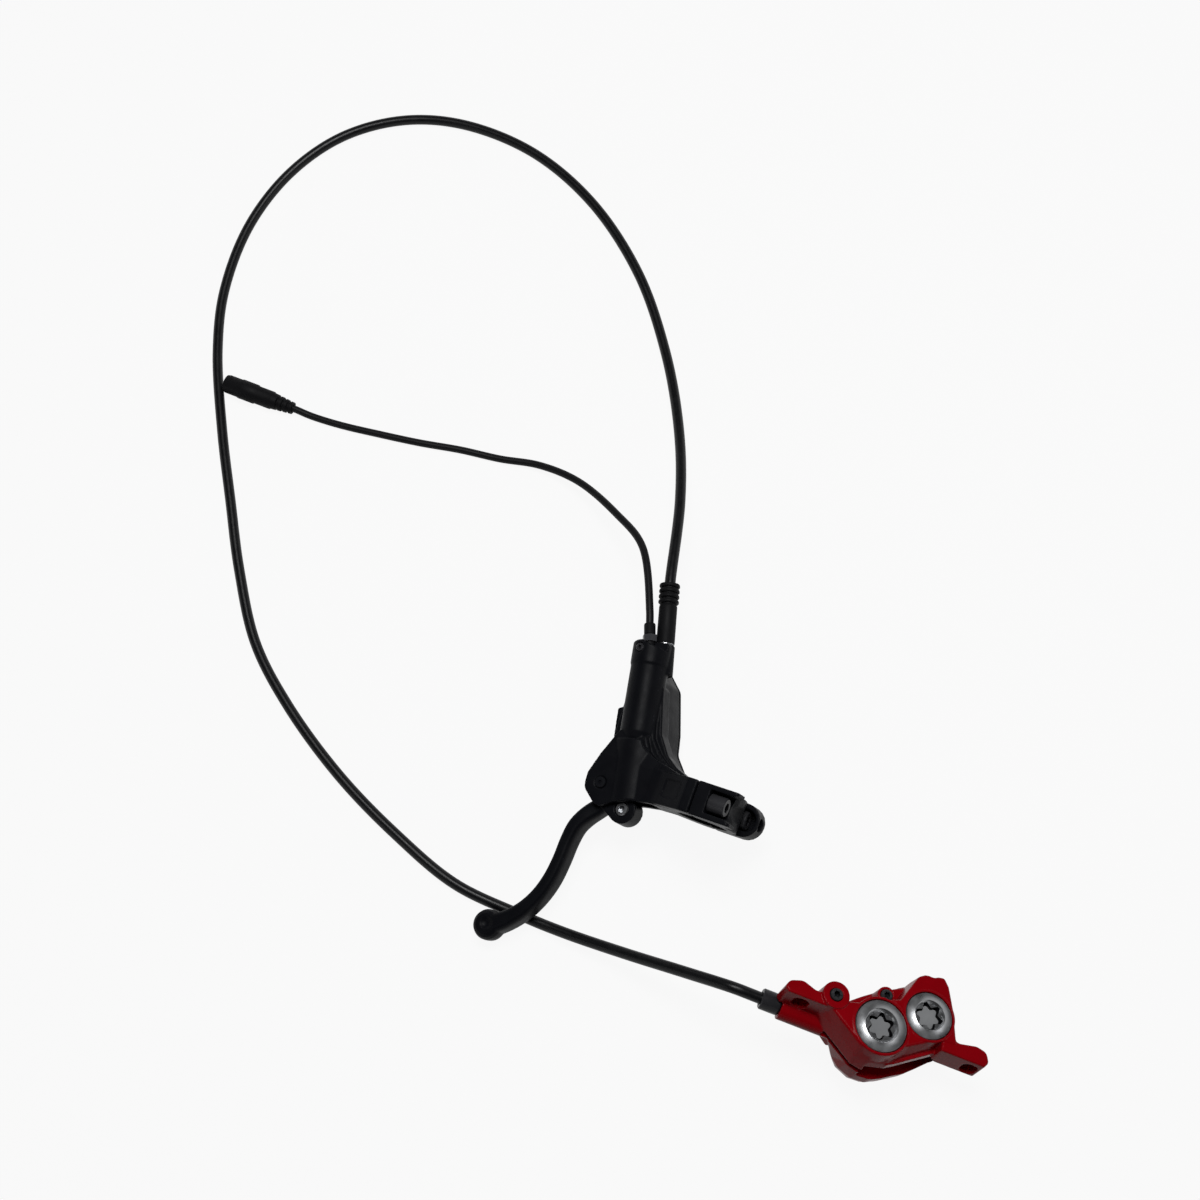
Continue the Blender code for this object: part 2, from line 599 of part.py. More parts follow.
head = turned("head", bore_frame, [
    (0, HEAD_END / MM), (HEAD_RADIUS / MM - 0.9, HEAD_END / MM), (HEAD_RADIUS / MM, HEAD_END / MM - 0.9),
    (HEAD_RADIUS / MM, HEAD_START / MM + 1.6), (BARREL_RADIUS / MM - 0.6, HEAD_START / MM), (0, HEAD_START / MM)], steps=26)
port_boss = rod("port boss", hose_port, (0, 0, -14 * MM), (0, 0, -0.12 * MM), PORT_BOSS_RADIUS, steps=20)
reservoir_outline = rounded([
    (-8.6, 57.4, 6), (-1.6, 60.4, 5), (7.4, 52.2, 5), (14.6, 33.2, 8), (16.9, 24.4, 6), (24.0, 16.6, 5),
    (22.0, 10.5, 4), (-2.0, 10.5, 5), (-6.6, 24.0, 8)])
reservoir = drafted("reservoir", lever_frame, reservoir_outline, [
    (RESERVOIR_DROP + COVER_THICKNESS + DIAPHRAGM_THICKNESS + SEAT_GAP, 0.0), (-13.0 * MM, 0.1 * MM),
    (-5.0 * MM, 0.4 * MM), (0.6 * MM, 1.0 * MM)])
webs = [
    drafted("web upper", lever_frame, rounded([
        (-3.0, 46.0, 3), (7.6, 47.4, 2), (9.6, 36.4), (11.4, 25.8, 3), (15.4, 19.6, 3), (19.5, 16.8), (33.0, 12.0),
        (33.0, 6.0), (8.0, 8.0), (0.0, 24.0)]), [(-8.0 * MM, 0), (5.1 * MM, 0), (5.6 * MM, 0.5 * MM)]),
    drafted("web middle", lever_frame, rounded([
        (-2.8, 44.8, 3), (8.2, 48.6, 2), (10.8, 35.7), (14.2, 25.9, 4), (19.4, 20.2, 3), (25.0, 16.4), (36.0, 12.6),
        (36.0, 6.2), (8.2, 7.8), (0.2, 24.2)]), [(-7.8 * MM, 0), (3.3 * MM, 0), (3.8 * MM, 0.5 * MM)]),
    drafted("web lower", lever_frame, rounded([
        (-2.6, 43.6, 3), (8.8, 50.6, 2), (10.9, 43.6), (16.0, 29.0, 4), (22.4, 20.8, 4), (28.2, 17.0), (36.2, 14.0),
        (39.0, 13.0), (39.0, 6.4), (8.4, 7.6), (0.4, 24.4)]), [(-7.6 * MM, 0), (1.1 * MM, 0), (1.6 * MM, 0.5 * MM)]),
]
side_lug = slab("side lug", lever_frame, rounded([
    (-9.6, 34.6, 1.2), (-5.0, 37.2, 1), (1.0, 36.0), (1.0, 20.0), (-6.6, 21.4, 1.5)]), -5.6 * MM, -2.0 * MM)
join(housing, swelling, clamp_half, barrel, head, port_boss, reservoir, *webs, side_lug)

blade_slot = slab("blade slot", lever_frame, rounded([
    (-18, -34), (26, -34), (26, -3), (21.6, 5.0, 2), (9.5, 7.0), (4.5, 8.3, 2), (-4.5, 8.6, 3), (-18, 8.6)]),
    -SLOT_HALF, SLOT_HALF)
bore = rod("bore", bore_frame, (0, 0, BORE_START), (0, 0, BORE_END), BORE_RADIUS, steps=20)
clip_groove = rod("clip groove", bore_frame, (0, 0, CLIP_START), (0, 0, CLIP_START + 1.5 * MM), BORE_RADIUS + 0.9 * MM)
port_hole = rod("port hole", hose_port, (0, 0, -PORT_DEPTH), (0, 0, 4 * MM), PORT_RADIUS)
passage = rod("passage", bore_frame, (3.6 * MM, 0.6 * MM, BORE_END - 2 * MM), (4.6 * MM, 1.6 * MM, HEAD_END - PORT_DEPTH + MM),
              0.8 * MM, steps=12)
switch_hole = rod("switch hole", switch_port, (0, 0, -7.4 * MM), (0, 0, 4 * MM), 2.5 * MM, steps=SMALL_STEPS)
port_face = rod("port spot face", hose_port, (0, 0, 0), (0, 0, 5 * MM), 4.4 * MM)
switch_face = rod("switch spot face", switch_port, (0, 0, 0), (0, 0, 5 * MM), 3.8 * MM)
pivot_hole = rod("pivot hole", lever_frame, (0, 0, -14 * MM), (0, 0, 14 * MM), PIVOT_RADIUS + SEAT_GAP)
bar_hole = rod("bar hole", clamp_frame, (0, -20 * MM, 0), (0, 20 * MM, 0), BAR_RADIUS, steps=24)
reservoir_well = slab("reservoir well", lever_frame, rounded([
    (-6.1, 55.4, 4), (-1.8, 57.6, 4), (5.1, 51.0, 4), (12.2, 33.0, 7), (14.5, 23.7, 5), (20.2, 16.6, 3), (19.6, 12.9, 3),
    (-0.4, 12.9, 3), (-4.4, 24.2, 7)]), -40 * MM, -12.4 * MM)
feed_port = rod("feed port", lever_frame, (5.0 * MM, 36.0 * MM, -16 * MM), (5.0 * MM, 36.0 * MM, 0), 1.1 * MM, steps=12)
bleed_hole = rod("bleed hole", lever_frame, (*LEVER_BLEED, 3.8 * MM), (*LEVER_BLEED, 12 * MM), 1.25 * MM,
                 steps=SMALL_STEPS)
bleed_spot = rod("bleed spot face", lever_frame, (*LEVER_BLEED, 6.7 * MM), (*LEVER_BLEED, 12 * MM), 2.2 * MM,
                 steps=SMALL_STEPS)
recess = block("arm recess", lever_frame, (0, -4.0 * MM, -0.55 * MM), (11.5 * MM, 4.0 * MM, 8 * MM),
               place=(29.8 * MM, CLAMP_Y + 0.3 * MM, 12.05 * MM), turn=(0, -34.2 * DEG, 0))
head_slant = block("head slant", bore_frame, (0, -14 * MM, 0), (20 * MM, -2.6 * MM, 9 * MM),
                   place=(-2.4 * MM, 0, HEAD_END - 0.7 * MM), turn=(0, 17 * DEG, 0))
cut(housing, head_slant, blade_slot, bore, clip_groove, port_hole, port_face, passage, switch_hole, switch_face, pivot_hole, bar_hole,
    reservoir_well, feed_port, bleed_hole, bleed_spot, recess)
for sign in (-1, 1):
    hole = rod(f"clamp thread {sign}", clamp_frame,
               (-CLAMP_BOLT_REACH - 1.2 * MM, 0.2 * MM, sign * CLAMP_BOLT_OFFSET), (4 * MM, 0.2 * MM, sign * CLAMP_BOLT_OFFSET),
               CLAMP_BOLT_RADIUS + SEAT_GAP, steps=SMALL_STEPS)
    cut(housing, hole)
for number, (x, y) in enumerate(COVER_SCREWS):
    hole = rod(f"cover thread {number}", lever_frame, (x * MM, y * MM, -40 * MM), (x * MM, y * MM, -17.5 * MM),
               COVER_SCREW_RADIUS + SEAT_GAP, steps=12)
    pillar = rod(f"cover pillar {number}", lever_frame,
                 (x * MM, y * MM, RESERVOIR_DROP + COVER_THICKNESS + DIAPHRAGM_THICKNESS + SEAT_GAP),
                 (x * MM, y * MM, -11.5 * MM), 2.3 * MM, steps=16)
    join(housing, pillar)
    cut(housing, hole)

# Clamp cap and its two bolts
cap = slab("clamp_cap", lever_frame, rounded([
    (BAR_X / MM + 0.25, 20.2), (66.0, 20.2, 1.5), (66.0, 11.6, 1), (60.5, 10.4, 2), (62.0, 5.0, 6), (62.2, -1.0, 8),
    (60.8, -8.0, 6), (57.0, -12.7, 2), (BAR_X / MM + 0.25, -12.7)]),
    -(CLAMP_Y + CLAMP_WIDTH / 2), -(CLAMP_Y - CLAMP_WIDTH / 2), "black_paint", turn=(90 * DEG, 0, 0))
cap_bar = rod("cap bar", clamp_frame, (0, -20 * MM, 0), (0, 20 * MM, 0), BAR_RADIUS, steps=24)
low_lug = slab("low lug", clamp_frame, rounded([
    (0.25, -7.45), (20.2, -7.45, 7.4), (20.2, 7.45, 7.4), (0.25, 7.45)], 5), -20.8 * MM, -11.9 * MM)
join(cap, low_lug)
scallop = rod("scallop", clamp_frame, (19.9 * MM, 0, -11.0 * MM), (19.9 * MM, 0, 30 * MM), 6.1 * MM, steps=24)
head_channel = block("head channel", clamp_frame,
                     (CLAMP_BOLT_SEAT, -4.2 * MM, CLAMP_BOLT_OFFSET - 4.3 * MM), (30 * MM, 4.6 * MM, 30 * MM))
low_seat = slab("low bolt seat", clamp_frame, rounded([
    (CLAMP_BOLT_SEAT / MM, -4.6), (18.3, -4.6, 4.5), (18.3, 5.0, 4.5), (CLAMP_BOLT_SEAT / MM, 5.0)], 5),
    -19.5 * MM, -11.0 * MM)
cut(cap, cap_bar, scallop, head_channel, low_seat)
for sign in (-1, 1):
    cut(cap, rod(f"cap bolt hole {sign}", clamp_frame, (-2 * MM, 0.2 * MM, sign * CLAMP_BOLT_OFFSET),
                 (30 * MM, 0.2 * MM, sign * CLAMP_BOLT_OFFSET), CLAMP_BOLT_RADIUS + CLEARANCE, steps=SMALL_STEPS))
bolt_length = (CLAMP_BOLT_SEAT + CLAMP_BOLT_HEAD + CLAMP_BOLT_REACH) / MM + 0.1
for label, sign in (("upper", 1), ("lower", -1)):
    bolt = turned(f"clamp_bolt_{label}", clamp_frame, [
        (0, 0), (CLAMP_BOLT_HEAD_RADIUS / MM - 0.5, 0), (CLAMP_BOLT_HEAD_RADIUS / MM, -0.5),
        (CLAMP_BOLT_HEAD_RADIUS / MM, -CLAMP_BOLT_HEAD / MM), (CLAMP_BOLT_RADIUS / MM, -CLAMP_BOLT_HEAD / MM),
        (CLAMP_BOLT_RADIUS / MM, 0.6 - bolt_length), (CLAMP_BOLT_RADIUS / MM - 0.6, -bolt_length), (0, -bolt_length)],
        "black_steel",
        place=(CLAMP_BOLT_SEAT + CLAMP_BOLT_HEAD + 0.1 * MM, 0.2 * MM, sign * CLAMP_BOLT_OFFSET), turn=(0, 90 * DEG, 0))
    socket = slab(f"clamp socket {label}", bolt, hexagon(4.0 * MM), -3.2 * MM, 2 * MM)
    cut(bolt, socket)

# Reservoir cover, diaphragm, cover screws and bleed screw
cover_top = RESERVOIR_DROP + COVER_THICKNESS
cover = drafted("reservoir_cover", lever_frame, inset_outline(reservoir_outline, -0.2 * MM), [
    (RESERVOIR_DROP, 1.4 * MM), (RESERVOIR_DROP + 0.9 * MM, 0.1 * MM), (cover_top - 0.1 * MM, 0.0)], "black_paint")
diaphragm = slab("reservoir_diaphragm", lever_frame, inset_outline(reservoir_outline, 0.3 * MM),
                 cover_top, cover_top + DIAPHRAGM_THICKNESS, "black_rubber")
for number, (x, y) in enumerate(COVER_SCREWS):
    screw = turned(f"cover_screw_{number + 1}", lever_frame, [
        (0, 6.6), (COVER_SCREW_RADIUS / MM - 0.2, 6.6), (COVER_SCREW_RADIUS / MM, 6.4), (COVER_SCREW_RADIUS / MM, 1.2),
        (2.1, 1.2), (2.1, 0.2), (1.9, 0), (0, 0)], "black_steel", place=(x * MM, y * MM, RESERVOIR_DROP + 0.1 * MM),
        steps=16)
    cut(screw, slab(f"cover screw socket {number}", screw, hexagon(1.9 * MM), -1 * MM, 0.8 * MM))
    sink = rod(f"cover sink {number}", lever_frame, (x * MM, y * MM, RESERVOIR_DROP - MM),
               (x * MM, y * MM, RESERVOIR_DROP + 1.4 * MM), 2.3 * MM, steps=16)
    through = rod(f"cover through {number}", lever_frame, (x * MM, y * MM, -30 * MM), (x * MM, y * MM, -20 * MM),
                  COVER_SCREW_RADIUS + SEAT_GAP, steps=12)
    cut(cover, sink, through)
    cut(diaphragm, through)
bleed = turned("lever_bleed_screw", lever_frame, [
    (0, 8.2), (1.6, 8.2), (1.85, 7.9), (1.85, 6.85), (1.1, 6.85), (1.1, 4.1), (0, 4.1)], "black_steel",
    place=(*LEVER_BLEED, 0), steps=SMALL_STEPS)
cut(bleed, slab("lever bleed socket", lever_frame, hexagon(1.6 * MM), 7.3 * MM, 9 * MM, place=(*LEVER_BLEED, 0)))

# Lever blade with its hub and push rod boss
blade_steps = 12


def blade_section(x, y, along, half_width, half_height, lift=0.0):
    """Rounded section square to the blade's path, all sizes in millimetres."""
    side = Vector((-along.y, along.x))
    points = []
    for k in range(blade_steps):
        angle = 2 * math.pi * (k + 0.5) / blade_steps
        across = math.copysign(abs(math.cos(angle)) ** 0.55, math.cos(angle)) * half_width
        up = math.copysign(abs(math.sin(angle)) ** 0.55, math.sin(angle)) * half_height + lift
        points.append(((x + side.x * across) * MM, (y + side.y * across) * MM, up * MM))
    return points


lever = slab("brake_lever", lever_frame, hull_of_circles(0, 0, HUB_RADIUS, pin_x, pin_y, BOSS_RADIUS),
             -HUB_HALF, HUB_HALF, "black_paint")
sections = []
for index, (x, y, half_width, half_height) in enumerate(BLADE_PATH):
    first = Vector(BLADE_PATH[max(index - 1, 0)][:2])
    last = Vector(BLADE_PATH[min(index + 1, len(BLADE_PATH) - 1)][:2])
    sections.append(blade_section(x, y, (last - first).normalized(), half_width, half_height))
blade = lofted("blade", lever_frame, sections)
tip = turned("blade tip", lever_frame, [
    (0, 5.9), (4.4, 5.7), (5.9, 4.6), (6.7, 2.6), (6.8, 0), (6.6, -2.8), (5.6, -4.8), (4.2, -5.7), (0, -5.9)],
    place=(TIP_X, TIP_Y, 0))
join(lever, blade, tip)
tip_dimple = ball("tip dimple", lever_frame, (TIP_X + 0.8 * MM, TIP_Y + 0.6 * MM, BLADE_HALF_HEIGHT + 3.2 * MM), 4.4 * MM)
bush_hole = rod("bush hole", lever_frame, (0, 0, -12 * MM), (0, 0, 12 * MM), PIVOT_RADIUS + BUSH_WALL + 2 * SEAT_GAP)
cross_hole = rod("cross pin hole", lever_frame, (pin_x, pin_y, -12 * MM), (pin_x, pin_y, 12 * MM),
                 CROSS_PIN_RADIUS + SEAT_GAP)
rod_slot = slab("rod slot", lever_frame, rounded([
    (5.6, 0), (4.0, -4.4, 3), (-4.0, -4.4, 3), (-5.6, 0), (-5.6, 20), (5.6, 20)]), -2.5 * MM, 2.5 * MM,
    place=(pin_x, pin_y, 0), turn=(0, 0, BORE_LEAN - 3 * DEG))
cut(lever, tip_dimple, bush_hole, cross_hole, rod_slot)
pivot_pin = turned("lever_pivot_pin", lever_frame, [
    (0, 9.2), (0.45, 9.2), (0.8, 9.7), (2.2, 9.6), (2.5, 9.2), (2.5, -9.2), (2.2, -9.6), (0, -9.6)], "black_steel")
for label, sign in (("upper", 1), ("lower", -1)):
    low, high = sorted((sign * 0.4, sign * 5.15))
    profile = [(2.65, high), (3.35, high), (3.35, low), (2.65, low)]
    turned(f"pivot_bush_{label}", lever_frame, profile, "brass", ring=True)
cross_pin = turned("pushrod_cross_pin", lever_frame, [
    (0, 5.0), (2.6, 5.0), (3.0, 4.6), (3.0, -4.6), (2.6, -5.0), (0, -5.0)], "machined_silver", place=(pin_x, pin_y, 0))
cut(cross_pin, slab("cross pin socket", cross_pin, hexagon(2.9 * MM), 2.6 * MM, 8 * MM))

# Push rod, piston, seals, spring and clip
rest_tilt = math.asin((BORE_V - PIN_ARM * math.cos(PIN_ANGLE - BORE_LEAN)) / PUSHROD_LENGTH)
pushrod = annulus("pushrod", lever_frame, 4.1 * MM, CROSS_PIN_RADIUS + SEAT_GAP, -2.0 * MM, 2.0 * MM, "steel")
pushrod.location = (pin_x, pin_y, 0)
pushrod.rotation_euler = (0, 0, BORE_LEAN - rest_tilt)
bpy.context.view_layer.update()
push_shank = rod("push shank", pushrod, (0, 3.6 * MM, 0), (0, PUSHROD_LENGTH - 1.2 * MM, 0), PUSHROD_RADIUS,
                 steps=SMALL_STEPS)
push_ball = ball("push ball", pushrod, (0, PUSHROD_LENGTH, 0), BALL_RADIUS)
join(pushrod, push_shank, push_ball)
top = PISTON_START + PISTON_LENGTH_MASTER
r = PISTON_RADIUS / MM
s = PISTON_START / MM
piston = turned("master_piston", bore_frame, [
    (0, top / MM), (2.6, top / MM), (2.6, top / MM - 0.9), (r, top / MM - 0.9), (r, top / MM - 2.0),
    (3.6, top / MM - 2.0), (3.6, top / MM - 4.6), (r, top / MM - 4.6), (r, top / MM - 6.0), (3.9, top / MM - 6.6),
    (3.9, s + 6.6), (r, s + 6.0), (r, s + 4.8), (3.6, s + 4.8), (3.6, s + 2.4), (r, s + 2.4), (r, s),
    (3.7, s), (3.0, s + 1.6), (2.95, s + 3.0), (2.2, s + 4.2), (0, s + 4.4)], "steel")
turned("primary_cup", bore_frame, [
    (3.8, top / MM - 2.2), (5.1, top / MM - 2.2), (5.1, top / MM - 4.4), (3.8, top / MM - 4.4)], "seal_rubber", ring=True)
turned("secondary_seal", bore_frame, [(3.8, s + 4.6), (5.1, s + 4.6), (5.1, s + 2.6), (3.8, s + 2.6)], "seal_rubber",
       ring=True)
spring_low = top + 0.2 * MM + SPRING_WIRE
spring_high = BORE_END - 0.2 * MM - SPRING_WIRE
coil = []
for k in range(SPRING_TURNS * 9 + 1):
    angle = 2 * math.pi * k / 9
    height = spring_low + (spring_high - spring_low) * k / (SPRING_TURNS * 9)
    coil.append((SPRING_RADIUS * math.cos(angle), SPRING_RADIUS * math.sin(angle), height))
spring_curve = tube("spring wire", bore_frame, coil, SPRING_WIRE, None, 1)
solid_tube(spring_curve, "master_return_spring", bore_frame, "steel")
clip_outline = []
for k in range(25):
    angle = (35 + 290 * k / 24) * DEG
    clip_outline.append((5.9 * MM * math.cos(angle), 5.9 * MM * math.sin(angle)))
for k in range(25):
    angle = (325 - 290 * k / 24) * DEG
    clip_outline.append((4.2 * MM * math.cos(angle), 4.2 * MM * math.sin(angle)))
slab("piston_retaining_clip", bore_frame, clip_outline, CLIP_START + 0.25 * MM, CLIP_START + 1.25 * MM, "steel")

# Hose fitting on the lever
nut = turned("hose_nut_lever", hose_port, [
    (2.8, 6.6), (3.2, 6.6), (3.2, 1.7), (3.9, 1.5), (3.9, 0.3), (3.35, 0.2), (3.35, -4.6), (2.8, -4.6)],
    "machined_silver", ring=True)
annulus("hose_olive_lever", hose_port, 3.35 * MM, 2.7 * MM, -6.6 * MM, -4.9 * MM, "brass", steps=SMALL_STEPS)
turned("hose_barb_lever", hose_port, [
    (0.9, -6.35), (2.3, -6.35), (2.5, -7.0), (0.9, -7.0)], "steel", ring=True, steps=SMALL_STEPS)
boot_profile = [(2.8, 24.4), (3.4, 24.4)]
for k in range(4):
    z = 24.2 - 2.5 * k
    boot_profile += [(4.1, z), (4.35, z - 0.5), (4.35, z - 1.2), (4.0, z - 1.6), (3.5, z - 1.7), (3.5, z - 2.2)]
boot_profile += [(3.8, 14.0), (3.9, 13.4), (3.95, 2.7), (3.8, 1.9), (3.4, 1.9), (3.4, 7.4), (2.8, 8.4)]
turned("hose_boot", hose_port, boot_profile, "black_rubber", steps=14, ring=True)

# Brake light switch with its nut
switch = turned("brake_switch", switch_port, [
    (0, 5.2), (2.0, 5.2), (2.0, 8.8), (2.35, 8.8), (2.6, 8.2), (2.6, 3.9), (2.25, 3.7), (2.25, -6.8), (0, -7.0)],
    "black_steel", steps=24)
switch_nut = slab("switch_nut", switch_port, hexagon(5.8 * MM), 0.25 * MM, 3.4 * MM, "black_steel")
cut(switch_nut, rod("switch nut hole", switch_port, (0, 0, -MM), (0, 0, 6 * MM), 2.4 * MM, steps=24))

# Caliper body in one piece
caliper = cast("caliper_body", caliper_frame, CALIPER_LEVELS, "caliper_red")
round_edges(caliper, 0.9 * MM, 1, 25)
inner = cast("inner half", caliper_frame, INNER_LEVELS)
round_edges(inner, 1.6 * MM, 1, 25)
bosses = [
    rod("large cap boss", caliper_frame, (*LARGE_CENTRE, -17.1 * MM), (*LARGE_CENTRE, -0.5 * MM), 13.2 * MM, None, 12.3 * MM, 20),
    rod("small cap boss", caliper_frame, (*SMALL_CENTRE, -17.2 * MM), (*SMALL_CENTRE, -0.55 * MM), 12.0 * MM, None, 11.2 * MM, 20),
    rod("bleed boss", caliper_frame, (BLEED_X, BLEED_Y, -13.3 * MM), (BLEED_X, BLEED_Y, -0.1 * MM), 6.3 * MM, None, 5.7 * MM),
    rod("pin boss", caliper_frame, (*PIN_PLACE, -13 * MM), (*PIN_PLACE, -3.6 * MM), 4.4 * MM, None, 3.8 * MM, 24),
    rod("port barrel", caliper_port, (0, 0, -24 * MM), (0, 0, 0), 5.7 * MM),
]
for tool in bosses[:2]:
    round_edges(tool, 0.5 * MM)
ears = [
    slab("right ear", caliper_frame, rounded([
        (22.0, 0.0), (41.2, 0.0, 0.8), (42.6, 2.4, 2), (41.0, 6.4, 3), (36.5, 7.4, 4), (29.0, 5.8, 3), (22.0, 8.0)]),
        EAR_BOTTOM, -1.3 * MM),
    slab("left ear", caliper_frame, rounded([
        (-22.0, 0.0), (-44.4, 0.0, 0.8), (-46.2, 1.8, 1.5), (-44.8, 5.0, 3), (-39.5, 6.9, 4), (-33.5, 4.8, 3), (-22.0, 6.0)]),
        EAR_BOTTOM - 0.1 * MM, -1.25 * MM),
]
for tool in ears:
    round_edges(tool, 0.7 * MM)
rotor_x, rotor_y = ROTOR_CENTRE
start = math.atan2(0.5 * MM - rotor_y, -26 * MM - rotor_x)
stop = math.atan2(29 * MM - rotor_y, 22 * MM - rotor_x)
arc = [start + (stop - start) * k / 16 for k in range(17)]
bridge_inner = SLOT_RADIUS - 5.0 * MM
bridge_outline = [(rotor_x + BRIDGE_RADIUS * math.cos(t), rotor_y + BRIDGE_RADIUS * math.sin(t)) for t in arc]
bridge_outline += [(rotor_x + bridge_inner * math.cos(t), rotor_y + bridge_inner * math.sin(t)) for t in reversed(arc)]
bridge = slab("bridge", caliper_frame, bridge_outline, -26.5 * MM, -11.0 * MM)
round_edges(bridge, 1.2 * MM)
shelf = slab("shelf", caliper_frame, rounded([
    (3.0, -11.8), (6.6, -9.7, 1), (21.0, 0.3, 1), (25.4, 3.1), (20.0, 7.0), (5.0, -4.0)]), -15.5 * MM, -8.3 * MM)
round_edges(shelf, 0.5 * MM)
join(caliper, inner, *bosses, *ears, bridge, shelf)

slot = rod("rotor slot", caliper_frame, (rotor_x, rotor_y, ROTOR_PLANE - ROTOR_GAP / 2),
           (rotor_x, rotor_y, ROTOR_PLANE + ROTOR_GAP / 2), SLOT_RADIUS, steps=160)
pocket = slab("pad pocket", pad_frame, rounded([
    (-18.2, 8.3, 1), (-7.2, 8.3), (-7.2, 17.6, 2), (2.6, 17.6, 2), (2.6, 8.3), (18.2, 8.3, 1), (18.2, -11.0), (7.0, -19.0),
    (-18.2, -19.0)]), -23.7 * MM, -13.0 * MM)
bleed_bore = rod("bleed bore", caliper_frame, (BLEED_X, BLEED_Y, -9 * MM), (BLEED_X, BLEED_Y, 2 * MM), 2.85 * MM,
                 steps=SMALL_STEPS)
nut_bore = rod("nut bore", caliper_port, (0, 0, -8.4 * MM), (0, 0, 3 * MM), PORT_RADIUS)
pin_bore = rod("pin bore", caliper_frame, (*PIN_PLACE, -29.5 * MM), (*PIN_PLACE, 3 * MM), PAD_PIN_RADIUS + SEAT_GAP,
               steps=SMALL_STEPS)
pin_seat = rod("pin seat", caliper_frame, (*PIN_PLACE, -5.4 * MM), (*PIN_PLACE, 3 * MM), 2.75 * MM, steps=SMALL_STEPS)
cut(caliper, slot, pocket, bleed_bore, nut_bore, pin_bore, pin_seat)
for label, centre, cap_radius, piston_radius in (("large", LARGE_CENTRE, LARGE_CAP_RADIUS, LARGE_PISTON_RADIUS),
                                                 ("small", SMALL_CENTRE, SMALL_CAP_RADIUS, SMALL_PISTON_RADIUS)):
    cut(caliper,
        rod(f"{label} cap seat", caliper_frame, (*centre, -5.0 * MM), (*centre, 4 * MM), cap_radius + SEAT_GAP, steps=24),
        rod(f"{label} bore", caliper_frame, (*centre, PISTON_BORE_END), (*centre, 4 * MM), piston_radius + SEAT_GAP, steps=20),
        annulus(f"{label} outer groove", caliper_frame, piston_radius + 1.7 * MM, piston_radius - MM, -11.6 * MM, -9.4 * MM,
                None, place=(*centre, 0)),
        annulus(f"{label} inner groove", caliper_frame, piston_radius + 1.7 * MM, piston_radius - MM, -27.2 * MM, -25.0 * MM,
                None, place=(*centre, 0)))
for sign in (-1, 1):
    cut(caliper, slab(f"ear slot {sign}", caliper_frame, [
        (x, y) for x, y in rounded([(-3.15, -4.7, 3.1), (3.15, -4.7, 3.1), (3.15, 4.7, 3.1), (-3.15, 4.7, 3.1)])],
        -20 * MM, 20 * MM, place=(sign * EAR_SPACING / 2, 0, EAR_HOLE_Z), turn=(90 * DEG, 0, 0)))
cut(caliper, rod("spur scoop", caliper_frame, (12.4 * MM, 32.2 * MM, -30 * MM), (12.4 * MM, 32.2 * MM, 3 * MM), 3.3 * MM))

# Bore caps with their seals
for label, centre, radius in (("large", LARGE_CENTRE, LARGE_CAP_RADIUS), ("small", SMALL_CENTRE, SMALL_CAP_RADIUS)):
    bore_cap = turned(f"bore_cap_{label}", caliper_frame, [
        (0, -0.9), (radius / MM * 0.6, -0.9), (radius / MM - 2.2, -0.1), (radius / MM - 0.9, -0.25), (radius / MM, -0.9),
        (radius / MM, -3.2), (radius / MM - 2.6, -3.2), (radius / MM - 2.6, -4.85), (0, -4.85)], "machined_silver",
        place=(*centre, 0), steps=24)
    recess_tool = slab(f"{label} cap recess", caliper_frame, lobed(5.9 * MM, 4.5 * MM), -3.7 * MM, 3 * MM,
                       place=(*centre, 0), turn=(0, 0, 12 * DEG))
    cut(bore_cap, recess_tool)
    annulus(f"cap_seal_{label}", caliper_frame, radius - 0.25 * MM, radius - 2.45 * MM, -4.7 * MM, -3.4 * MM,
            "seal_rubber", place=(*centre, 0))

# Pistons, one pair for each side, and their seals
for label, centre, radius in (("large", LARGE_CENTRE, LARGE_PISTON_RADIUS), ("small", SMALL_CENTRE, SMALL_PISTON_RADIUS)):
    for side, back, front, seal in (("outer", -6.3, -12.9, -11.5), ("inner", -30.3, -23.7, -27.1)):
        hollow = radius / MM - 1.9
        face = 1 if side == "outer" else -1
        profile = [(0, back), (radius / MM - 0.6, back), (radius / MM, back - 0.6 * face), (radius / MM, front),
                   (hollow, front), (hollow, front + 4.6 * face), (0, front + 4.6 * face)]
        if face < 0:
            profile = list(reversed(profile))
        turned(f"{side}_piston_{label}", caliper_frame, profile, "phenolic", place=(*centre, 0))
        annulus(f"{side}_piston_seal_{label}", caliper_frame, radius + 1.55 * MM, radius + 0.12 * MM,
                seal * MM, (seal + 2.0) * MM, "seal_rubber", place=(*centre, 0))

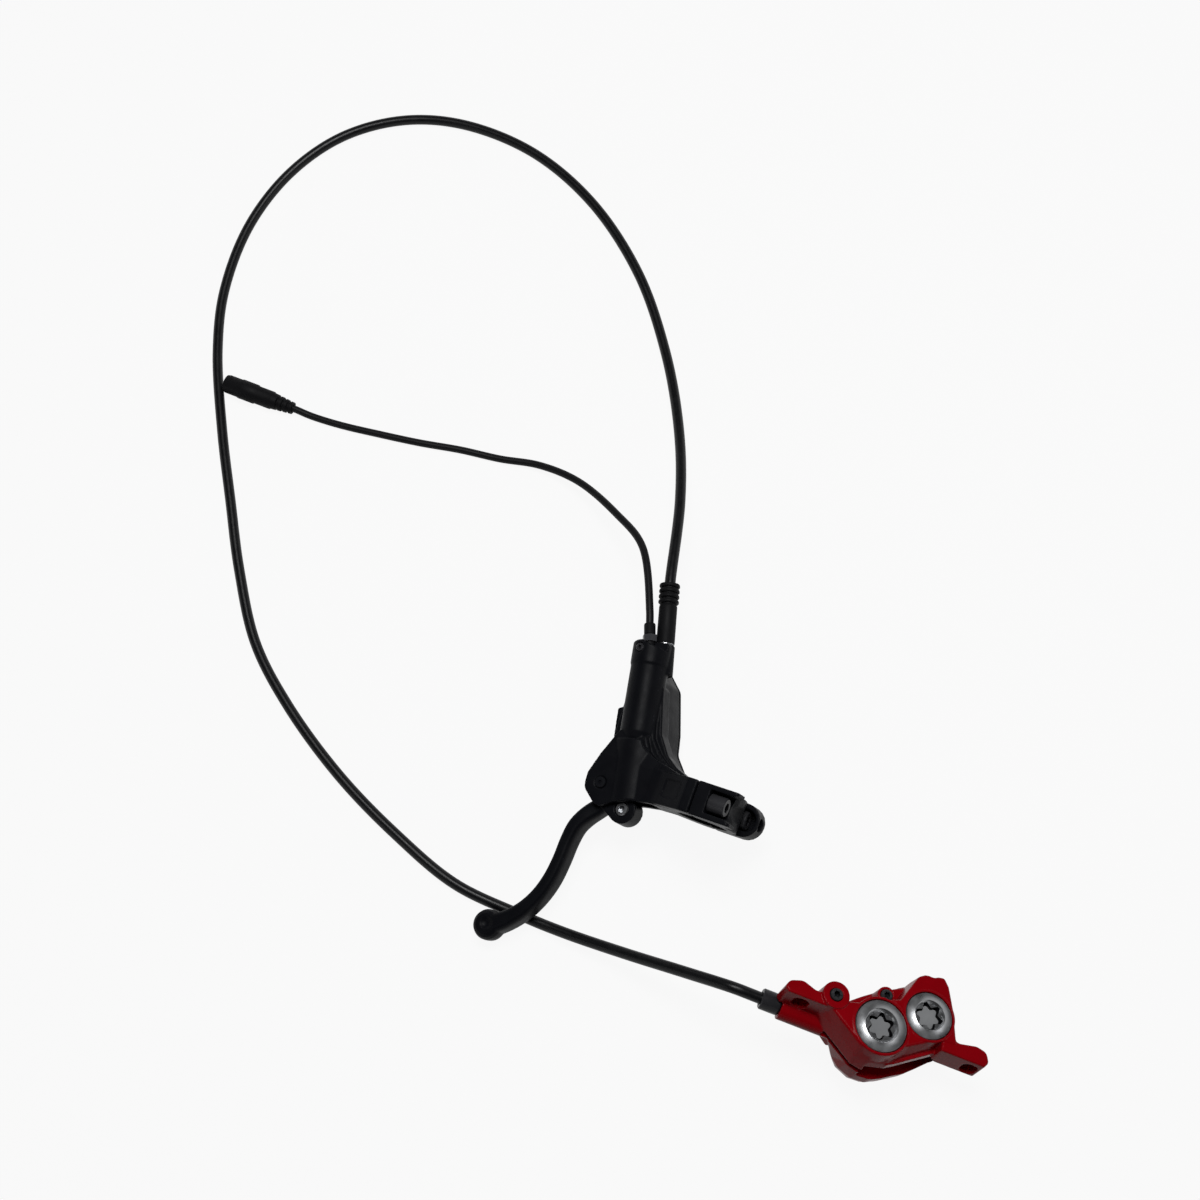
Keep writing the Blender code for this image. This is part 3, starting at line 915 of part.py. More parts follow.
# Pads, pin, spring and clip
plate_outline = rounded([
    (-17.5, 5.6, 2), (-14.5, 7.6, 2), (-7.0, 7.6, 1), (-6.4, 14.0, 2.6), (-4.0, 16.2, 2), (-1.4, 16.2, 2), (0.9, 14.0, 2.6),
    (1.6, 7.6, 1), (14.5, 7.6, 2), (17.5, 5.6, 2), (17.5, -5.6, 3), (11.0, -8.4, 3), (0.0, -7.0), (-11.0, -8.4, 3),
    (-17.5, -5.6, 3)])
lining_outline = rounded([
    (-16.5, 4.6, 2), (-13.5, 6.8, 2), (13.5, 6.8, 2), (16.5, 4.6, 2), (16.5, -5.0, 3), (10.6, -7.6, 3), (0.0, -6.2),
    (-10.6, -7.6, 3), (-16.5, -5.0, 3)])
for side, low in (("outer", -15.0), ("inner", -23.4)):
    plate = slab(f"{side}_pad_plate", pad_frame, plate_outline, low * MM, (low + 1.8) * MM, "black_steel")
    cut(plate, rod(f"{side} pad eye", pad_frame, (PAD_PIN_X, PAD_PIN_Y, -40 * MM), (PAD_PIN_X, PAD_PIN_Y, 0),
                   PAD_PIN_RADIUS + CLEARANCE, steps=SMALL_STEPS))
    face = low - 1.85 if side == "outer" else low + 1.9
    slab(f"{side}_pad_lining", pad_frame, lining_outline, face * MM, (face + 1.75) * MM, "lining")
spring_outline = [
    (8.0, -15.95), (8.0, -15.6), (9.6, -15.6), (10.4, -16.6), (10.4, -20.0), (9.6, -21.0), (8.0, -21.0), (8.0, -20.65),
    (9.4, -20.65), (10.0, -19.9), (10.0, -16.7), (9.4, -15.95)]
slab("pad_spring", pad_frame, [(y * MM, z * MM) for y, z in spring_outline], -6.4 * MM, 1.8 * MM, "steel",
     turn=(90 * DEG, 0, 90 * DEG))
pad_pin = turned("pad_pin", caliper_frame, [
    (0, -3.0), (2.0, -3.0), (2.45, -3.4), (2.45, -5.2), (1.5, -5.2), (1.5, -28.6), (1.1, -29.2), (0, -29.2)],
    "black_steel", place=(*PIN_PLACE, 0), steps=SMALL_STEPS)
cut(pad_pin, slab("pad pin socket", pad_pin, hexagon(2.4 * MM), -4.6 * MM, 2 * MM))
caliper_bleed = turned("caliper_bleed_screw", caliper_frame, [
    (0, 0.7), (2.3, 0.7), (2.6, 0.3), (2.6, -6.0), (1.4, -7.4), (0, -7.6)], "black_steel",
    place=(BLEED_X, BLEED_Y, 0), steps=SMALL_STEPS)
cut(caliper_bleed, slab("caliper bleed socket", caliper_bleed, hexagon(2.5 * MM), -1.8 * MM, 4 * MM))

# Hose fitting on the caliper
turned("hose_nut_caliper", caliper_port, [
    (2.8, 8.4), (4.0, 8.4), (4.4, 7.9), (4.4, 0.9), (4.1, 0.3), (3.35, 0.2), (3.35, -4.8), (2.8, -4.8)],
    "black_steel", ring=True)
annulus("hose_olive_caliper", caliper_port, 3.35 * MM, 2.7 * MM, -6.8 * MM, -5.1 * MM, "brass", steps=SMALL_STEPS)
turned("hose_barb_caliper", caliper_port, [
    (0.9, -6.55), (2.3, -6.55), (2.5, -7.3), (0.9, -7.3)], "steel", ring=True, steps=SMALL_STEPS)


def route_mesh(name, points, radius, spacing, colour):
    """A cord as one closed mesh along a smooth route in the brake's own axes."""
    return solid_tube(tube(name + " route", None, smooth_route(points, spacing), radius, None, 2), name, None, colour)


def along(port, *heights):
    bpy.context.view_layer.update()
    return [port.matrix_world @ Vector((0, 0, h * MM)) for h in heights]


def shifted(points):
    return [Vector((x * MM - CENTRE_X, y * MM - CENTRE_Y, z * MM)) for x, y, z in points]


route_mesh("brake_hose", [
    *along(hose_port, -5.9, 8, 20, 28), *shifted(HOSE_ROUTE), *along(caliper_port, 20, 12, 4, -6.1)],
    HOSE_RADIUS, 13 * MM, "hose_black")
connector_start = shifted([CONNECTOR_BIG_END])[0]
connector_stop = shifted([CONNECTOR_SMALL_END])[0]
connector_axis = (connector_stop - connector_start).normalized()
connector_frame = frame("connector_frame", None, connector_start,
                        connector_axis.to_track_quat("Z", "Y").to_euler())
turned("cable_connector", connector_frame, [
    (2.1, 37.0), (3.0, 37.0), (3.1, 35.6), (2.7, 35.3), (2.7, 34.5), (3.3, 34.2), (3.4, 32.8), (2.9, 32.5), (2.9, 31.7),
    (3.6, 31.4), (3.7, 30.0), (3.2, 29.7), (3.2, 28.9), (3.9, 28.6), (4.1, 26.0), (4.5, 25.4), (4.5, 17.2), (4.9, 16.4),
    (4.9, 8.4), (4.6, 7.6), (4.6, 1.2), (4.3, 0.4), (4.3, 0.0), (3.3, 0.0), (3.3, 4.6), (2.1, 4.9)],
    "black_rubber", steps=14, ring=True)
turned("connector_contacts", connector_frame, [
    (0, 4.2), (0.5, 4.2), (0.5, 4.9), (1.8, 5.0), (1.8, 8.4), (0, 8.4)][::-1], "brass", steps=16)
route_mesh("switch_cable", [
    *along(switch_port, 5.6, 9.5, 15), *shifted(CABLE_ROUTE), *along(connector_frame, 38.5, 34, 20, 9)],
    CABLE_RADIUS, 9.0 * MM, "hose_black")
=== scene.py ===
"""Looks of the hydraulic disc brake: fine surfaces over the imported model, cords, materials, light and camera.

The pieces repeat the model's frames and sizes with finer steps, and the castings are softened like
cast metal.
"""
import json
import math

import bmesh
import bpy
from mathutils import Matrix, Vector

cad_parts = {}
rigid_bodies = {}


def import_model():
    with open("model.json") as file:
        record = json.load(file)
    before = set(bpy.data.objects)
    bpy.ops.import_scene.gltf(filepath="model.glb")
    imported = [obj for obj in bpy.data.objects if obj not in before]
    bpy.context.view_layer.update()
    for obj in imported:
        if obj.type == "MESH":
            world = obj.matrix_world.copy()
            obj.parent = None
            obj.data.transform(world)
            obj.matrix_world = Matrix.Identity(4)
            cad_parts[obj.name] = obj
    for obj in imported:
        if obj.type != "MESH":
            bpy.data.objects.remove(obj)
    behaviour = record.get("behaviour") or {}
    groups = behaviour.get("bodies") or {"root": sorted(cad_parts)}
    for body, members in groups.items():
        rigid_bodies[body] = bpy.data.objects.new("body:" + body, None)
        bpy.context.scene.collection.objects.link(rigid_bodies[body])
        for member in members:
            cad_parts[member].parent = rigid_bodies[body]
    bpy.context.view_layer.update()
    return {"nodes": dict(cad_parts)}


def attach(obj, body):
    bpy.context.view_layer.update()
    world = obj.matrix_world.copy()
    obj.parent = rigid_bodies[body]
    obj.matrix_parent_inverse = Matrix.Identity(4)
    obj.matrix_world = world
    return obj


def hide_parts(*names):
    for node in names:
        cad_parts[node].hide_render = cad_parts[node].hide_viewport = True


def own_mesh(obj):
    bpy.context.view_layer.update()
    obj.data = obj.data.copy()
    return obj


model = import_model()

# Everything is built in millimetres, and each finished piece comes out in metres
MM = 0.001
TO_METRES = Matrix.Scale(MM, 4)
DEG = math.radians(1.0)
CLEARANCE = 0.3
SEAT_GAP = 0.15
ROUND_STEPS = 64
SMALL_STEPS = 40
FINE_STEPS = 80
HIDDEN_STEPS = 12
ARC_STEPS = 8
LOBE_NARROWNESS = 1.9
SHARP_ANGLE = 35 * DEG
FINE_SHARP_ANGLE = 32 * DEG

# Middle of the two assemblies on the surface, which is the origin
CENTRE_X = 104.2
CENTRE_Y = -87.5

# Where the two assemblies lie
LEVER_PLACE = (32.98 - CENTRE_X, -88.71 - CENTRE_Y, 23.7)
LEVER_TURN = (6.5 * DEG, -15.5 * DEG, -4.0 * DEG)
CALIPER_PLACE = (175.71 - CENTRE_X, -155.93 - CENTRE_Y, 43.5)
CALIPER_TURN = (-18.0 * DEG, 13.0 * DEG, 1.0 * DEG)

# Hose and cable, with the places they pass on and over the surface
HOSE_RADIUS = 2.5
CABLE_RADIUS = 1.75
HOSE_SPACING = 2.5
CABLE_SPACING = 2.0
HOSE_ROUTE = (
    (25.0, 50.6, 21.0), (12.7, 88.9, 10.5), (-6.9, 130.7, 3.6), (-33.1, 169.8, 2.6), (-68.4, 202.8, 2.6),
    (-107.2, 223.0, 2.6), (-147.9, 229.4, 2.6), (-179.0, 223.5, 2.6), (-205.7, 206.7, 2.6),
    (-224.6, 180.1, 2.6), (-234.6, 145.7, 2.6), (-233.8, 106.7, 2.6), (-224.8, 73.8, 2.6),
    (-206.5, 33.2, 2.6), (-189.0, -0.4, 2.6), (-171.5, -33.3, 2.6), (-150.7, -65.5, 2.6),
    (-125.2, -89.7, 2.6), (-90.5, -114.3, 2.6), (-56.0, -132.7, 2.6), (-22.6, -146.4, 2.6),
    (9.9, -151.1, 2.6), (30.3, -153.2, 5.5), (59.6, -155.1, 15.0), (87.4, -156.6, 28.0))
CABLE_ROUTE = (
    (15.8, 21.6, 27.0), (-2.0, 36.8, 19.0), (-26.8, 51.5, 9.0), (-48.3, 56.4, 3.6), (-68.1, 55.2, 1.8),
    (-88.4, 54.6, 1.8), (-108.6, 52.9, 1.8), (-129.3, 52.0, 1.8), (-150.6, 51.5, 1.8), (-166.0, 52.1, 2.3))
CONNECTOR_BIG_END = (-212.6, 56.7, 5.0)
CONNECTOR_SMALL_END = (-177.2, 53.3, 3.5)

# Handlebar clamp
BAR_RADIUS = 11.1
BAR_X = 47.2
CLAMP_WIDTH = 14.8
CLAMP_Y = 6.0
CLAMP_SPLIT = 0.6
CLAMP_BOLT_RADIUS = 2.5
CLAMP_BOLT_OFFSET = 15.3
CLAMP_BOLT_HEAD_RADIUS = 4.15
CLAMP_BOLT_HEAD = 7.4
CLAMP_BOLT_SEAT = 6.4
CLAMP_BOLT_REACH = 4.8
CLAMP_BOLT_SHIFT = 0.2

# Lever housing, pivot and blade
HOUSING_HALF = 9.0
SLOT_HALF = 5.4
HUB_HALF = 5.0
HUB_RADIUS = 7.3
PIVOT_RADIUS = 2.5
BUSH_WALL = 0.8
PIN_ARM = 14.3
PIN_ANGLE = -33.0 * DEG
BOSS_RADIUS = 6.4
CROSS_PIN_RADIUS = 3.0
BLADE_HALF_HEIGHT = 5.8
BLADE_PATH = (
    (4.0, -6.5, 3.4, 4.6), (-0.5, -11.2, 3.9, 4.9), (-4.0, -15.6, 3.7, 5.5), (-6.8, -21.0, 3.4, 5.8),
    (-7.9, -28.0, 3.2, 5.8), (-8.2, -37.0, 3.1, 5.8), (-9.3, -46.5, 3.2, 5.8), (-11.9, -55.0, 3.3, 5.8),
    (-16.2, -62.8, 3.6, 5.8), (-21.5, -68.8, 4.0, 5.8), (-26.5, -72.6, 4.6, 5.7), (-29.5, -74.2, 5.0, 5.4))
TIP_X = -30.0
TIP_Y = -74.5

# Master cylinder
BORE_LEAN = 11.8 * DEG
BORE_V = 10.4
BORE_RADIUS = 5.25
BORE_START = -3.0
BORE_END = 56.0
BARREL_RADIUS = 8.4
HEAD_START = 54.0
HEAD_END = 65.8
HEAD_RADIUS = 8.8
PORT_BOSS_RADIUS = 4.4
WEB_EDGE = 0.5
CLIP_START = 8.4

# Reservoir under the cylinder
RESERVOIR_DROP = -24.7
DIAPHRAGM_THICKNESS = 0.9
COVER_THICKNESS = 2.2
RESERVOIR_SEAT = RESERVOIR_DROP + COVER_THICKNESS + DIAPHRAGM_THICKNESS + SEAT_GAP
COVER_SCREW_RADIUS = 1.2
COVER_SCREWS = ((1.6, 15.4), (17.2, 15.2), (-3.6, 53.8), (4.0, 50.0))
COVER_PILLAR_RADIUS = 2.3
LEVER_BLEED = (-5.4, 62.2)
LEVER_BLEED_RADIUS = 1.25
LEVER_BLEED_FACE = 2.2

# Hose fittings
PORT_RADIUS = 3.6
PORT_DEPTH = 7.6
HOSE_PORT = (4.7, 2.5)
HOSE_PORT_TURN = (0.0, -5.0 * DEG, 0.0)
PORT_FACE_RADIUS = 4.4
SWITCH_HOLE_RADIUS = 2.5
SWITCH_FACE_RADIUS = 3.8
SWITCH_PORT = (-1.2, -1.6)
SWITCH_PORT_TURN = (0.0, -9.8 * DEG, 0.0)

# Caliper
EAR_SPACING = 74.2
EAR_HOLE_Z = -9.0
EAR_BOTTOM = -15.0
ROTOR_PLANE = -18.3
ROTOR_GAP = 3.4
ROTOR_CENTRE = (48.95, -63.1)
SLOT_RADIUS = 93.0
BRIDGE_WALL = 5.5
BRIDGE_RADIUS = SLOT_RADIUS + BRIDGE_WALL
PAD_X = 5.0
PAD_Y = 6.1
PAD_TURN = 32.4 * DEG
PISTON_SPACING = 22.0


def on_pads(x, y):
    """A point of the pads' frame in the caliper's frame."""
    return (PAD_X + x * math.cos(PAD_TURN) - y * math.sin(PAD_TURN),
            PAD_Y + x * math.sin(PAD_TURN) + y * math.cos(PAD_TURN))


LARGE_CENTRE = on_pads(-PISTON_SPACING / 2, 0)
SMALL_CENTRE = on_pads(PISTON_SPACING / 2, 0)
PIN_PLACE = on_pads(-2.9, 12.3)
LARGE_PISTON_RADIUS = 9.0
SMALL_PISTON_RADIUS = 8.0
LARGE_CAP_RADIUS = 11.0
SMALL_CAP_RADIUS = 10.0
PISTON_BORE_END = -31.3
PAD_PIN_RADIUS = 1.5
BLEED_PLACE = (-25.3, 5.5)
CALIPER_PORT = (-42.4, 0.9, -20.0)
CALIPER_LEVELS = (
    (-17.6, (
        (-31.0, 5.0), (-19.8, 5.8), (-14.3, 7.6), (-8.8, 12.0), (-2.6, 14.2), (0.8, 15.8), (6.8, 28.6),
        (10.2, 30.6), (20.2, 32.0), (22.8, 28.0), (26.2, 18.0), (28.4, 7.4), (29.0, 3.2), (25.2, 2.2),
        (11.0, -6.8), (4.6, -11.8), (-4.5, -14.2), (-9.5, -13.4), (-17.1, -8.0), (-23.5, -3.7),
        (-30.0, 0.8))),
    (-9.0, (
        (-31.0, 5.2), (-19.8, 5.6), (-14.3, 7.3), (-8.6, 11.6), (-2.4, 13.8), (1.2, 15.2), (6.6, 27.8),
        (9.4, 29.6), (18.2, 31.2), (21.2, 27.8), (25.0, 18.0), (27.8, 7.3), (28.8, 3.6), (22.0, 2.6),
        (9.6, -6.0), (3.4, -11.2), (-4.5, -13.2), (-10.4, -12.0), (-16.8, -7.4), (-22.2, -3.6),
        (-29.5, 1.2))),
    (-0.8, (
        (-30.4, 5.0), (-19.8, 5.1), (-14.3, 6.6), (-8.2, 10.9), (-2.4, 13.0), (1.6, 14.4), (6.9, 27.0),
        (9.4, 28.8), (17.6, 30.6), (20.1, 27.5), (24.0, 17.8), (27.0, 7.2), (28.3, 4.2), (19.8, 3.6),
        (8.0, -3.8), (2.2, -9.2), (-5.0, -11.6), (-10.9, -10.6), (-16.6, -6.4), (-21.3, -3.3),
        (-28.8, 2.3))))
INNER_LEVELS = (
    (-35.0, (
        (-12.0, 0.0), (-9.0, 6.5), (-3.0, 11.0), (5.0, 20.5), (12.0, 24.5), (19.5, 24.0), (23.5, 14.0),
        (23.0, 6.0), (13.1, -5.0), (6.5, -9.4), (1.2, -11.6), (-4.6, -11.8), (-10.1, -9.6), (-12.6, -5.6))),
    (-29.0, (
        (-17.0, 1.0), (-12.0, 9.5), (-4.0, 14.5), (4.0, 25.5), (12.0, 30.0), (21.0, 29.0), (26.2, 16.0),
        (26.6, 5.6), (15.0, -5.4), (7.0, -10.6), (1.6, -13.4), (-4.6, -13.8), (-10.4, -11.6),
        (-15.6, -6.4))),
    (-16.9, (
        (-28.0, 2.0), (-15.0, 9.5), (-4.0, 15.5), (4.0, 27.0), (10.5, 31.0), (21.5, 30.5), (27.4, 16.0),
        (28.0, 4.2), (16.0, -6.6), (7.4, -11.6), (1.6, -13.8), (-4.6, -14.0), (-10.4, -12.4),
        (-22.4, -4.4))))

FINE = bpy.data.collections.new("fine_surfaces")
BUILD = bpy.data.collections.new("construction")
bpy.context.scene.collection.children.link(FINE)
bpy.context.scene.collection.children.link(BUILD)
MADE = {}


def evaluated(obj):
    """A copy of the object's mesh with its modifiers applied."""
    bpy.context.view_layer.update()
    return bpy.data.meshes.new_from_object(obj.evaluated_get(bpy.context.evaluated_depsgraph_get()))


def frame(name, parent=None, place=(0, 0, 0), turn=(0, 0, 0), order="XYZ"):
    """An empty that carries pieces while they are built."""
    empty = bpy.data.objects.new(name, None)
    empty.rotation_mode = order
    empty.location = place
    empty.rotation_euler = turn
    empty.parent = parent
    BUILD.objects.link(empty)
    bpy.context.view_layer.update()
    return empty


def mesh_object(name, mesh, parent, colour=None, place=(0, 0, 0), turn=(0, 0, 0)):
    """Puts a mesh on its frame, and remembers it by its name when it has a colour."""
    obj = bpy.data.objects.new(name, mesh)
    obj.parent = parent
    obj.location = place
    obj.rotation_euler = turn
    BUILD.objects.link(obj)
    if colour:
        mesh.materials.append(FINISHES[colour])
        MADE[name] = obj
    mesh.shade_smooth()
    mesh.set_sharp_from_angle(angle=SHARP_ANGLE)
    return obj


def finished(bm, name, *on_frame):
    """Turns a bmesh into an object on its frame."""
    mesh = bpy.data.meshes.new(name)
    bm.to_mesh(mesh)
    bm.free()
    return mesh_object(name, mesh, *on_frame)


def rod(name, parent, start, end, radius, end_radius=None, steps=ROUND_STEPS):
    """A round bar or cone between two points of its frame."""
    start, end = Vector(start), Vector(end)
    along = end - start
    bm = bmesh.new()
    turn = Vector((0, 0, 1)).rotation_difference(along).to_matrix().to_4x4()
    bmesh.ops.create_cone(
        bm, cap_ends=True, segments=steps, radius1=radius,
        radius2=radius if end_radius is None else end_radius, depth=along.length,
        matrix=Matrix.Translation((start + end) / 2) @ turn)
    return finished(bm, name, parent)


def upright(name, parent, spot, low, high, radius, end_radius=None, steps=ROUND_STEPS):
    """A round bar or cone along Z of its frame, through the spot (x, y)."""
    return rod(name, parent, (*spot, low), (*spot, high), radius, end_radius, steps)


def block(name, parent, low, high, place=(0, 0, 0), turn=(0, 0, 0)):
    """A box between two corners of its frame."""
    low, high = Vector(low), Vector(high)
    bm = bmesh.new()
    bmesh.ops.create_cube(
        bm, size=1.0, matrix=Matrix.Translation((low + high) / 2) @ Matrix.Diagonal((*(high - low), 1)))
    return finished(bm, name, parent, None, place, turn)


def ball(name, parent, centre, radius):
    bm = bmesh.new()
    bmesh.ops.create_uvsphere(bm, u_segments=SMALL_STEPS, v_segments=SMALL_STEPS // 2, radius=radius,
                              matrix=Matrix.Translation(centre))
    return finished(bm, name, parent)


def round_edges(obj, width, angle=40.0):
    """Rounds the edges that are sharper than an angle in degrees."""
    bevel = obj.modifiers.new("rounded edges", "BEVEL")
    bevel.width = width
    bevel.segments = 3
    bevel.limit_method = "ANGLE"
    bevel.angle_limit = angle * DEG
    bevel.use_clamp_overlap = True



def rounded(corners, steps=ARC_STEPS):
    """Outline points from corners (x, y, fillet radius)."""
    count = len(corners)
    points = []
    for index in range(count):
        before = Vector(corners[index - 1][:2])
        here = Vector(corners[index][:2])
        after = Vector(corners[(index + 1) % count][:2])
        radius = corners[index][2] if len(corners[index]) > 2 else 0.0
        to_before = (before - here).normalized()
        to_after = (after - here).normalized()
        half = to_before.angle(to_after) / 2
        if radius <= 0 or half > 88 * DEG:
            points.append(here)
            continue
        room = 0.49 * min((before - here).length, (after - here).length)
        reach = min(radius / math.tan(half), room)
        radius = reach * math.tan(half)
        centre = here + (to_before + to_after).normalized() * (radius / math.sin(half))
        first = here + to_before * reach - centre
        last = here + to_after * reach - centre
        sweep = first.angle_signed(last)
        for step in range(steps + 1):
            turn = -sweep * step / steps
            points.append(centre + Matrix.Rotation(turn, 2) @ first)
    return [(p.x, p.y) for p in points]


def circle_points(x, y, radius, steps=ROUND_STEPS):
    return [(x + radius * math.cos(2 * math.pi * k / steps), y + radius * math.sin(2 * math.pi * k / steps))
            for k in range(steps)]

def slab(name, parent, outline, low, high, colour=None, place=(0, 0, 0), turn=(0, 0, 0), holes=()):
    """A flat piece: an outline filled and extruded between two heights of its frame."""
    curve = bpy.data.curves.new(name, "CURVE")
    curve.dimensions = "2D"
    curve.fill_mode = "BOTH"
    curve.extrude = (high - low) / 2
    for points in (outline, *holes):
        spline = curve.splines.new("POLY")
        spline.points.add(len(points) - 1)
        for point, (x, y) in zip(spline.points, points):
            point.co = (x, y, 0, 1)
        spline.use_cyclic_u = True
    flat = bpy.data.objects.new(name + " outline", curve)
    BUILD.objects.link(flat)
    mesh = evaluated(flat)
    bpy.data.objects.remove(flat)
    bm = bmesh.new()
    bm.from_mesh(mesh)
    bmesh.ops.remove_doubles(bm, verts=bm.verts, dist=0.002)
    bmesh.ops.translate(bm, verts=bm.verts, vec=(0, 0, (low + high) / 2))
    bmesh.ops.dissolve_limit(bm, angle_limit=0.2 * DEG, verts=bm.verts, edges=bm.edges)
    bmesh.ops.recalc_face_normals(bm, faces=bm.faces)
    bm.to_mesh(mesh)
    bm.free()
    mesh.name = name
    return mesh_object(name, mesh, parent, colour, place, turn)


def inset_outline(outline, inset):
    """The outline moved inwards by a distance, for walls and drafted sides."""
    count = len(outline)
    area = sum(outline[i - 1][0] * outline[i][1] - outline[i][0] * outline[i - 1][1] for i in range(count))
    side = 1.0 if area > 0 else -1.0
    moved = []
    for index in range(count):
        before, here, after = (Vector(outline[(index + k) % count]) for k in (-1, 0, 1))
        first = (here - before).normalized()
        second = (after - here).normalized()
        normal = Vector((-(first.y + second.y), first.x + second.x)).normalized() * side
        stretch = max(0.5, math.cos(first.angle(second) / 2))
        moved.append(tuple(here + normal * (inset / stretch)))
    return moved


def lofted(name, parent, sections, colour=None, split=True):
    """A solid through closed sections of as many points each. Its sides are split where they may twist."""
    bm = bmesh.new()
    rings = [[bm.verts.new(p) for p in section] for section in sections]
    for lower, upper in zip(rings, rings[1:]):
        for index in range(len(lower)):
            bm.faces.new((lower[index - 1], lower[index], upper[index], upper[index - 1]))
    if split:
        bmesh.ops.triangulate(bm, faces=bm.faces)
    bm.faces.new(list(reversed(rings[0])))
    bm.faces.new(rings[-1])
    bmesh.ops.recalc_face_normals(bm, faces=bm.faces)
    return finished(bm, name, parent, colour)


def drafted(name, parent, outline, levels, colour=None):
    """A cast block: one outline, moved inwards by its own amount at each height."""
    sections = [[(x, y, height) for x, y in (inset_outline(outline, inset) if inset else outline)]
                for height, inset in levels]
    return lofted(name, parent, sections, colour, split=False)


def cast(name, parent, levels, colour=None):
    """A cast block with sloping sides: the same corners at several heights."""
    sections = [[(x, y, height) for x, y in corners] for height, corners in levels]
    return lofted(name, parent, sections, colour)


def turned(name, parent, profile, colour=None, place=(0, 0, 0), turn=(0, 0, 0), steps=ROUND_STEPS,
           ring=False):
    """A turned piece: (radius, height) points down the outer side, top to bottom."""
    mesh = bpy.data.meshes.new(name)
    points = [(radius, 0, height) for radius, height in profile]
    edges = [(index, index + 1) for index in range(len(points) - 1)]
    if ring:
        edges.append((len(points) - 1, 0))
    mesh.from_pydata(points, edges, [])
    obj = mesh_object(name, mesh, parent, colour, place, turn)
    screw = obj.modifiers.new("turned", "SCREW")
    screw.angle = 2 * math.pi
    screw.steps = steps
    screw.render_steps = steps
    screw.use_merge_vertices = True
    screw.merge_threshold = 0.01
    screw.use_smooth_shade = True
    return obj


def boolean(target, tools, operation):
    for tool in tools:
        step = target.modifiers.new(tool.name, "BOOLEAN")
        step.operation = operation
        step.object = tool
        step.solver = "EXACT"


def cut(target, *tools):
    boolean(target, tools, "DIFFERENCE")


def join(target, *tools):
    boolean(target, tools, "UNION")


def hexagon(across_flats):
    return circle_points(0, 0, across_flats / math.sqrt(3), 6)


def hex_socket(piece, across_flats, low, high):
    """Cuts a hexagon socket between two heights of the piece."""
    cut(piece, slab(piece.name + " socket", piece, hexagon(across_flats), low, high))



def lobed(outer, inner, lobes=6, steps=144):
    """A star-like outline with narrow lobes and hollow sides, as of a lobed driver socket."""
    points = []
    for index in range(steps):
        angle = 2 * math.pi * index / steps
        radius = inner + (outer - inner) * abs(math.cos(lobes * angle / 2)) ** LOBE_NARROWNESS
        points.append((radius * math.cos(angle), radius * math.sin(angle)))
    return points


def smooth_route(points, spacing):
    """Evenly spaced points on a smooth curve through the route's own points."""
    points = [Vector(p) for p in points]
    ends = [2 * points[0] - points[1], *points, 2 * points[-1] - points[-2]]
    fine = []
    for index in range(1, len(ends) - 2):
        a, b, c, d = ends[index - 1:index + 3]
        knots = [0.0]
        for first, second in ((a, b), (b, c), (c, d)):
            knots.append(knots[-1] + max((second - first).length, 1e-9) ** 0.5)
        for step in range(24):
            t = knots[1] + (knots[2] - knots[1]) * step / 24
            ab = a.lerp(b, (t - knots[0]) / (knots[1] - knots[0]))
            bc = b.lerp(c, (t - knots[1]) / (knots[2] - knots[1]))
            cd = c.lerp(d, (t - knots[2]) / (knots[3] - knots[2]))
            abc = ab.lerp(bc, (t - knots[0]) / (knots[2] - knots[0]))
            bcd = bc.lerp(cd, (t - knots[1]) / (knots[3] - knots[1]))
            fine.append(abc.lerp(bcd, (t - knots[1]) / (knots[2] - knots[1])))
    fine.append(points[-1])
    lengths = [0.0]
    for first, second in zip(fine, fine[1:]):
        lengths.append(lengths[-1] + (second - first).length)
    count = max(2, round(lengths[-1] / spacing))
    even = []
    index = 0
    for step in range(count + 1):
        target = lengths[-1] * step / count
        while index < len(fine) - 2 and lengths[index + 1] < target:
            index += 1
        span = max(lengths[index + 1] - lengths[index], 1e-12)
        even.append(fine[index].lerp(fine[index + 1], (target - lengths[index]) / span))
    return even


def hull_of_circles(x1, y1, r1, x2, y2, r2, steps=40):
    """Outline of a link: two circles joined by their outer tangents."""
    gap = math.hypot(x2 - x1, y2 - y1)
    heading = math.atan2(y2 - y1, x2 - x1)
    spread = math.acos((r1 - r2) / gap)
    points = []
    for k in range(steps + 1):
        angle = heading + spread + (2 * math.pi - 2 * spread) * k / steps
        points.append((x1 + r1 * math.cos(angle), y1 + r1 * math.sin(angle)))
    for k in range(steps + 1):
        angle = heading - spread + 2 * spread * k / steps
        points.append((x2 + r2 * math.cos(angle), y2 + r2 * math.sin(angle)))
    return points


def annulus(name, parent, outer, inner, low, high, place):
    """A ring round Z of its frame."""
    profile = [(inner, high), (outer, high), (outer, low), (inner, low)]
    return turned(name, parent, profile, place=place, ring=True)


def material(name):
    made = bpy.data.materials.new(name)
    made.use_nodes = True
    return made, made.node_tree.nodes, made.node_tree.links


def noise(nodes, links, scale, detail, roughness=0.5):
    """A noise texture's value over the object."""
    coordinates = nodes.new("ShaderNodeTexCoord")
    texture = nodes.new("ShaderNodeTexNoise")
    texture.inputs["Scale"].default_value = scale
    texture.inputs["Detail"].default_value = detail
    texture.inputs["Roughness"].default_value = roughness
    links.new(coordinates.outputs["Object"], texture.inputs["Vector"])
    return texture.outputs["Fac"]



def ramp(nodes, links, source, low, high, start=0.3, stop=0.7):
    """Maps a texture's value between two numbers."""
    scaled = nodes.new("ShaderNodeMapRange")
    scaled.inputs["From Min"].default_value = start
    scaled.inputs["From Max"].default_value = stop
    scaled.inputs["To Min"].default_value = low
    scaled.inputs["To Max"].default_value = high
    links.new(source, scaled.inputs["Value"])
    return scaled.outputs["Result"]


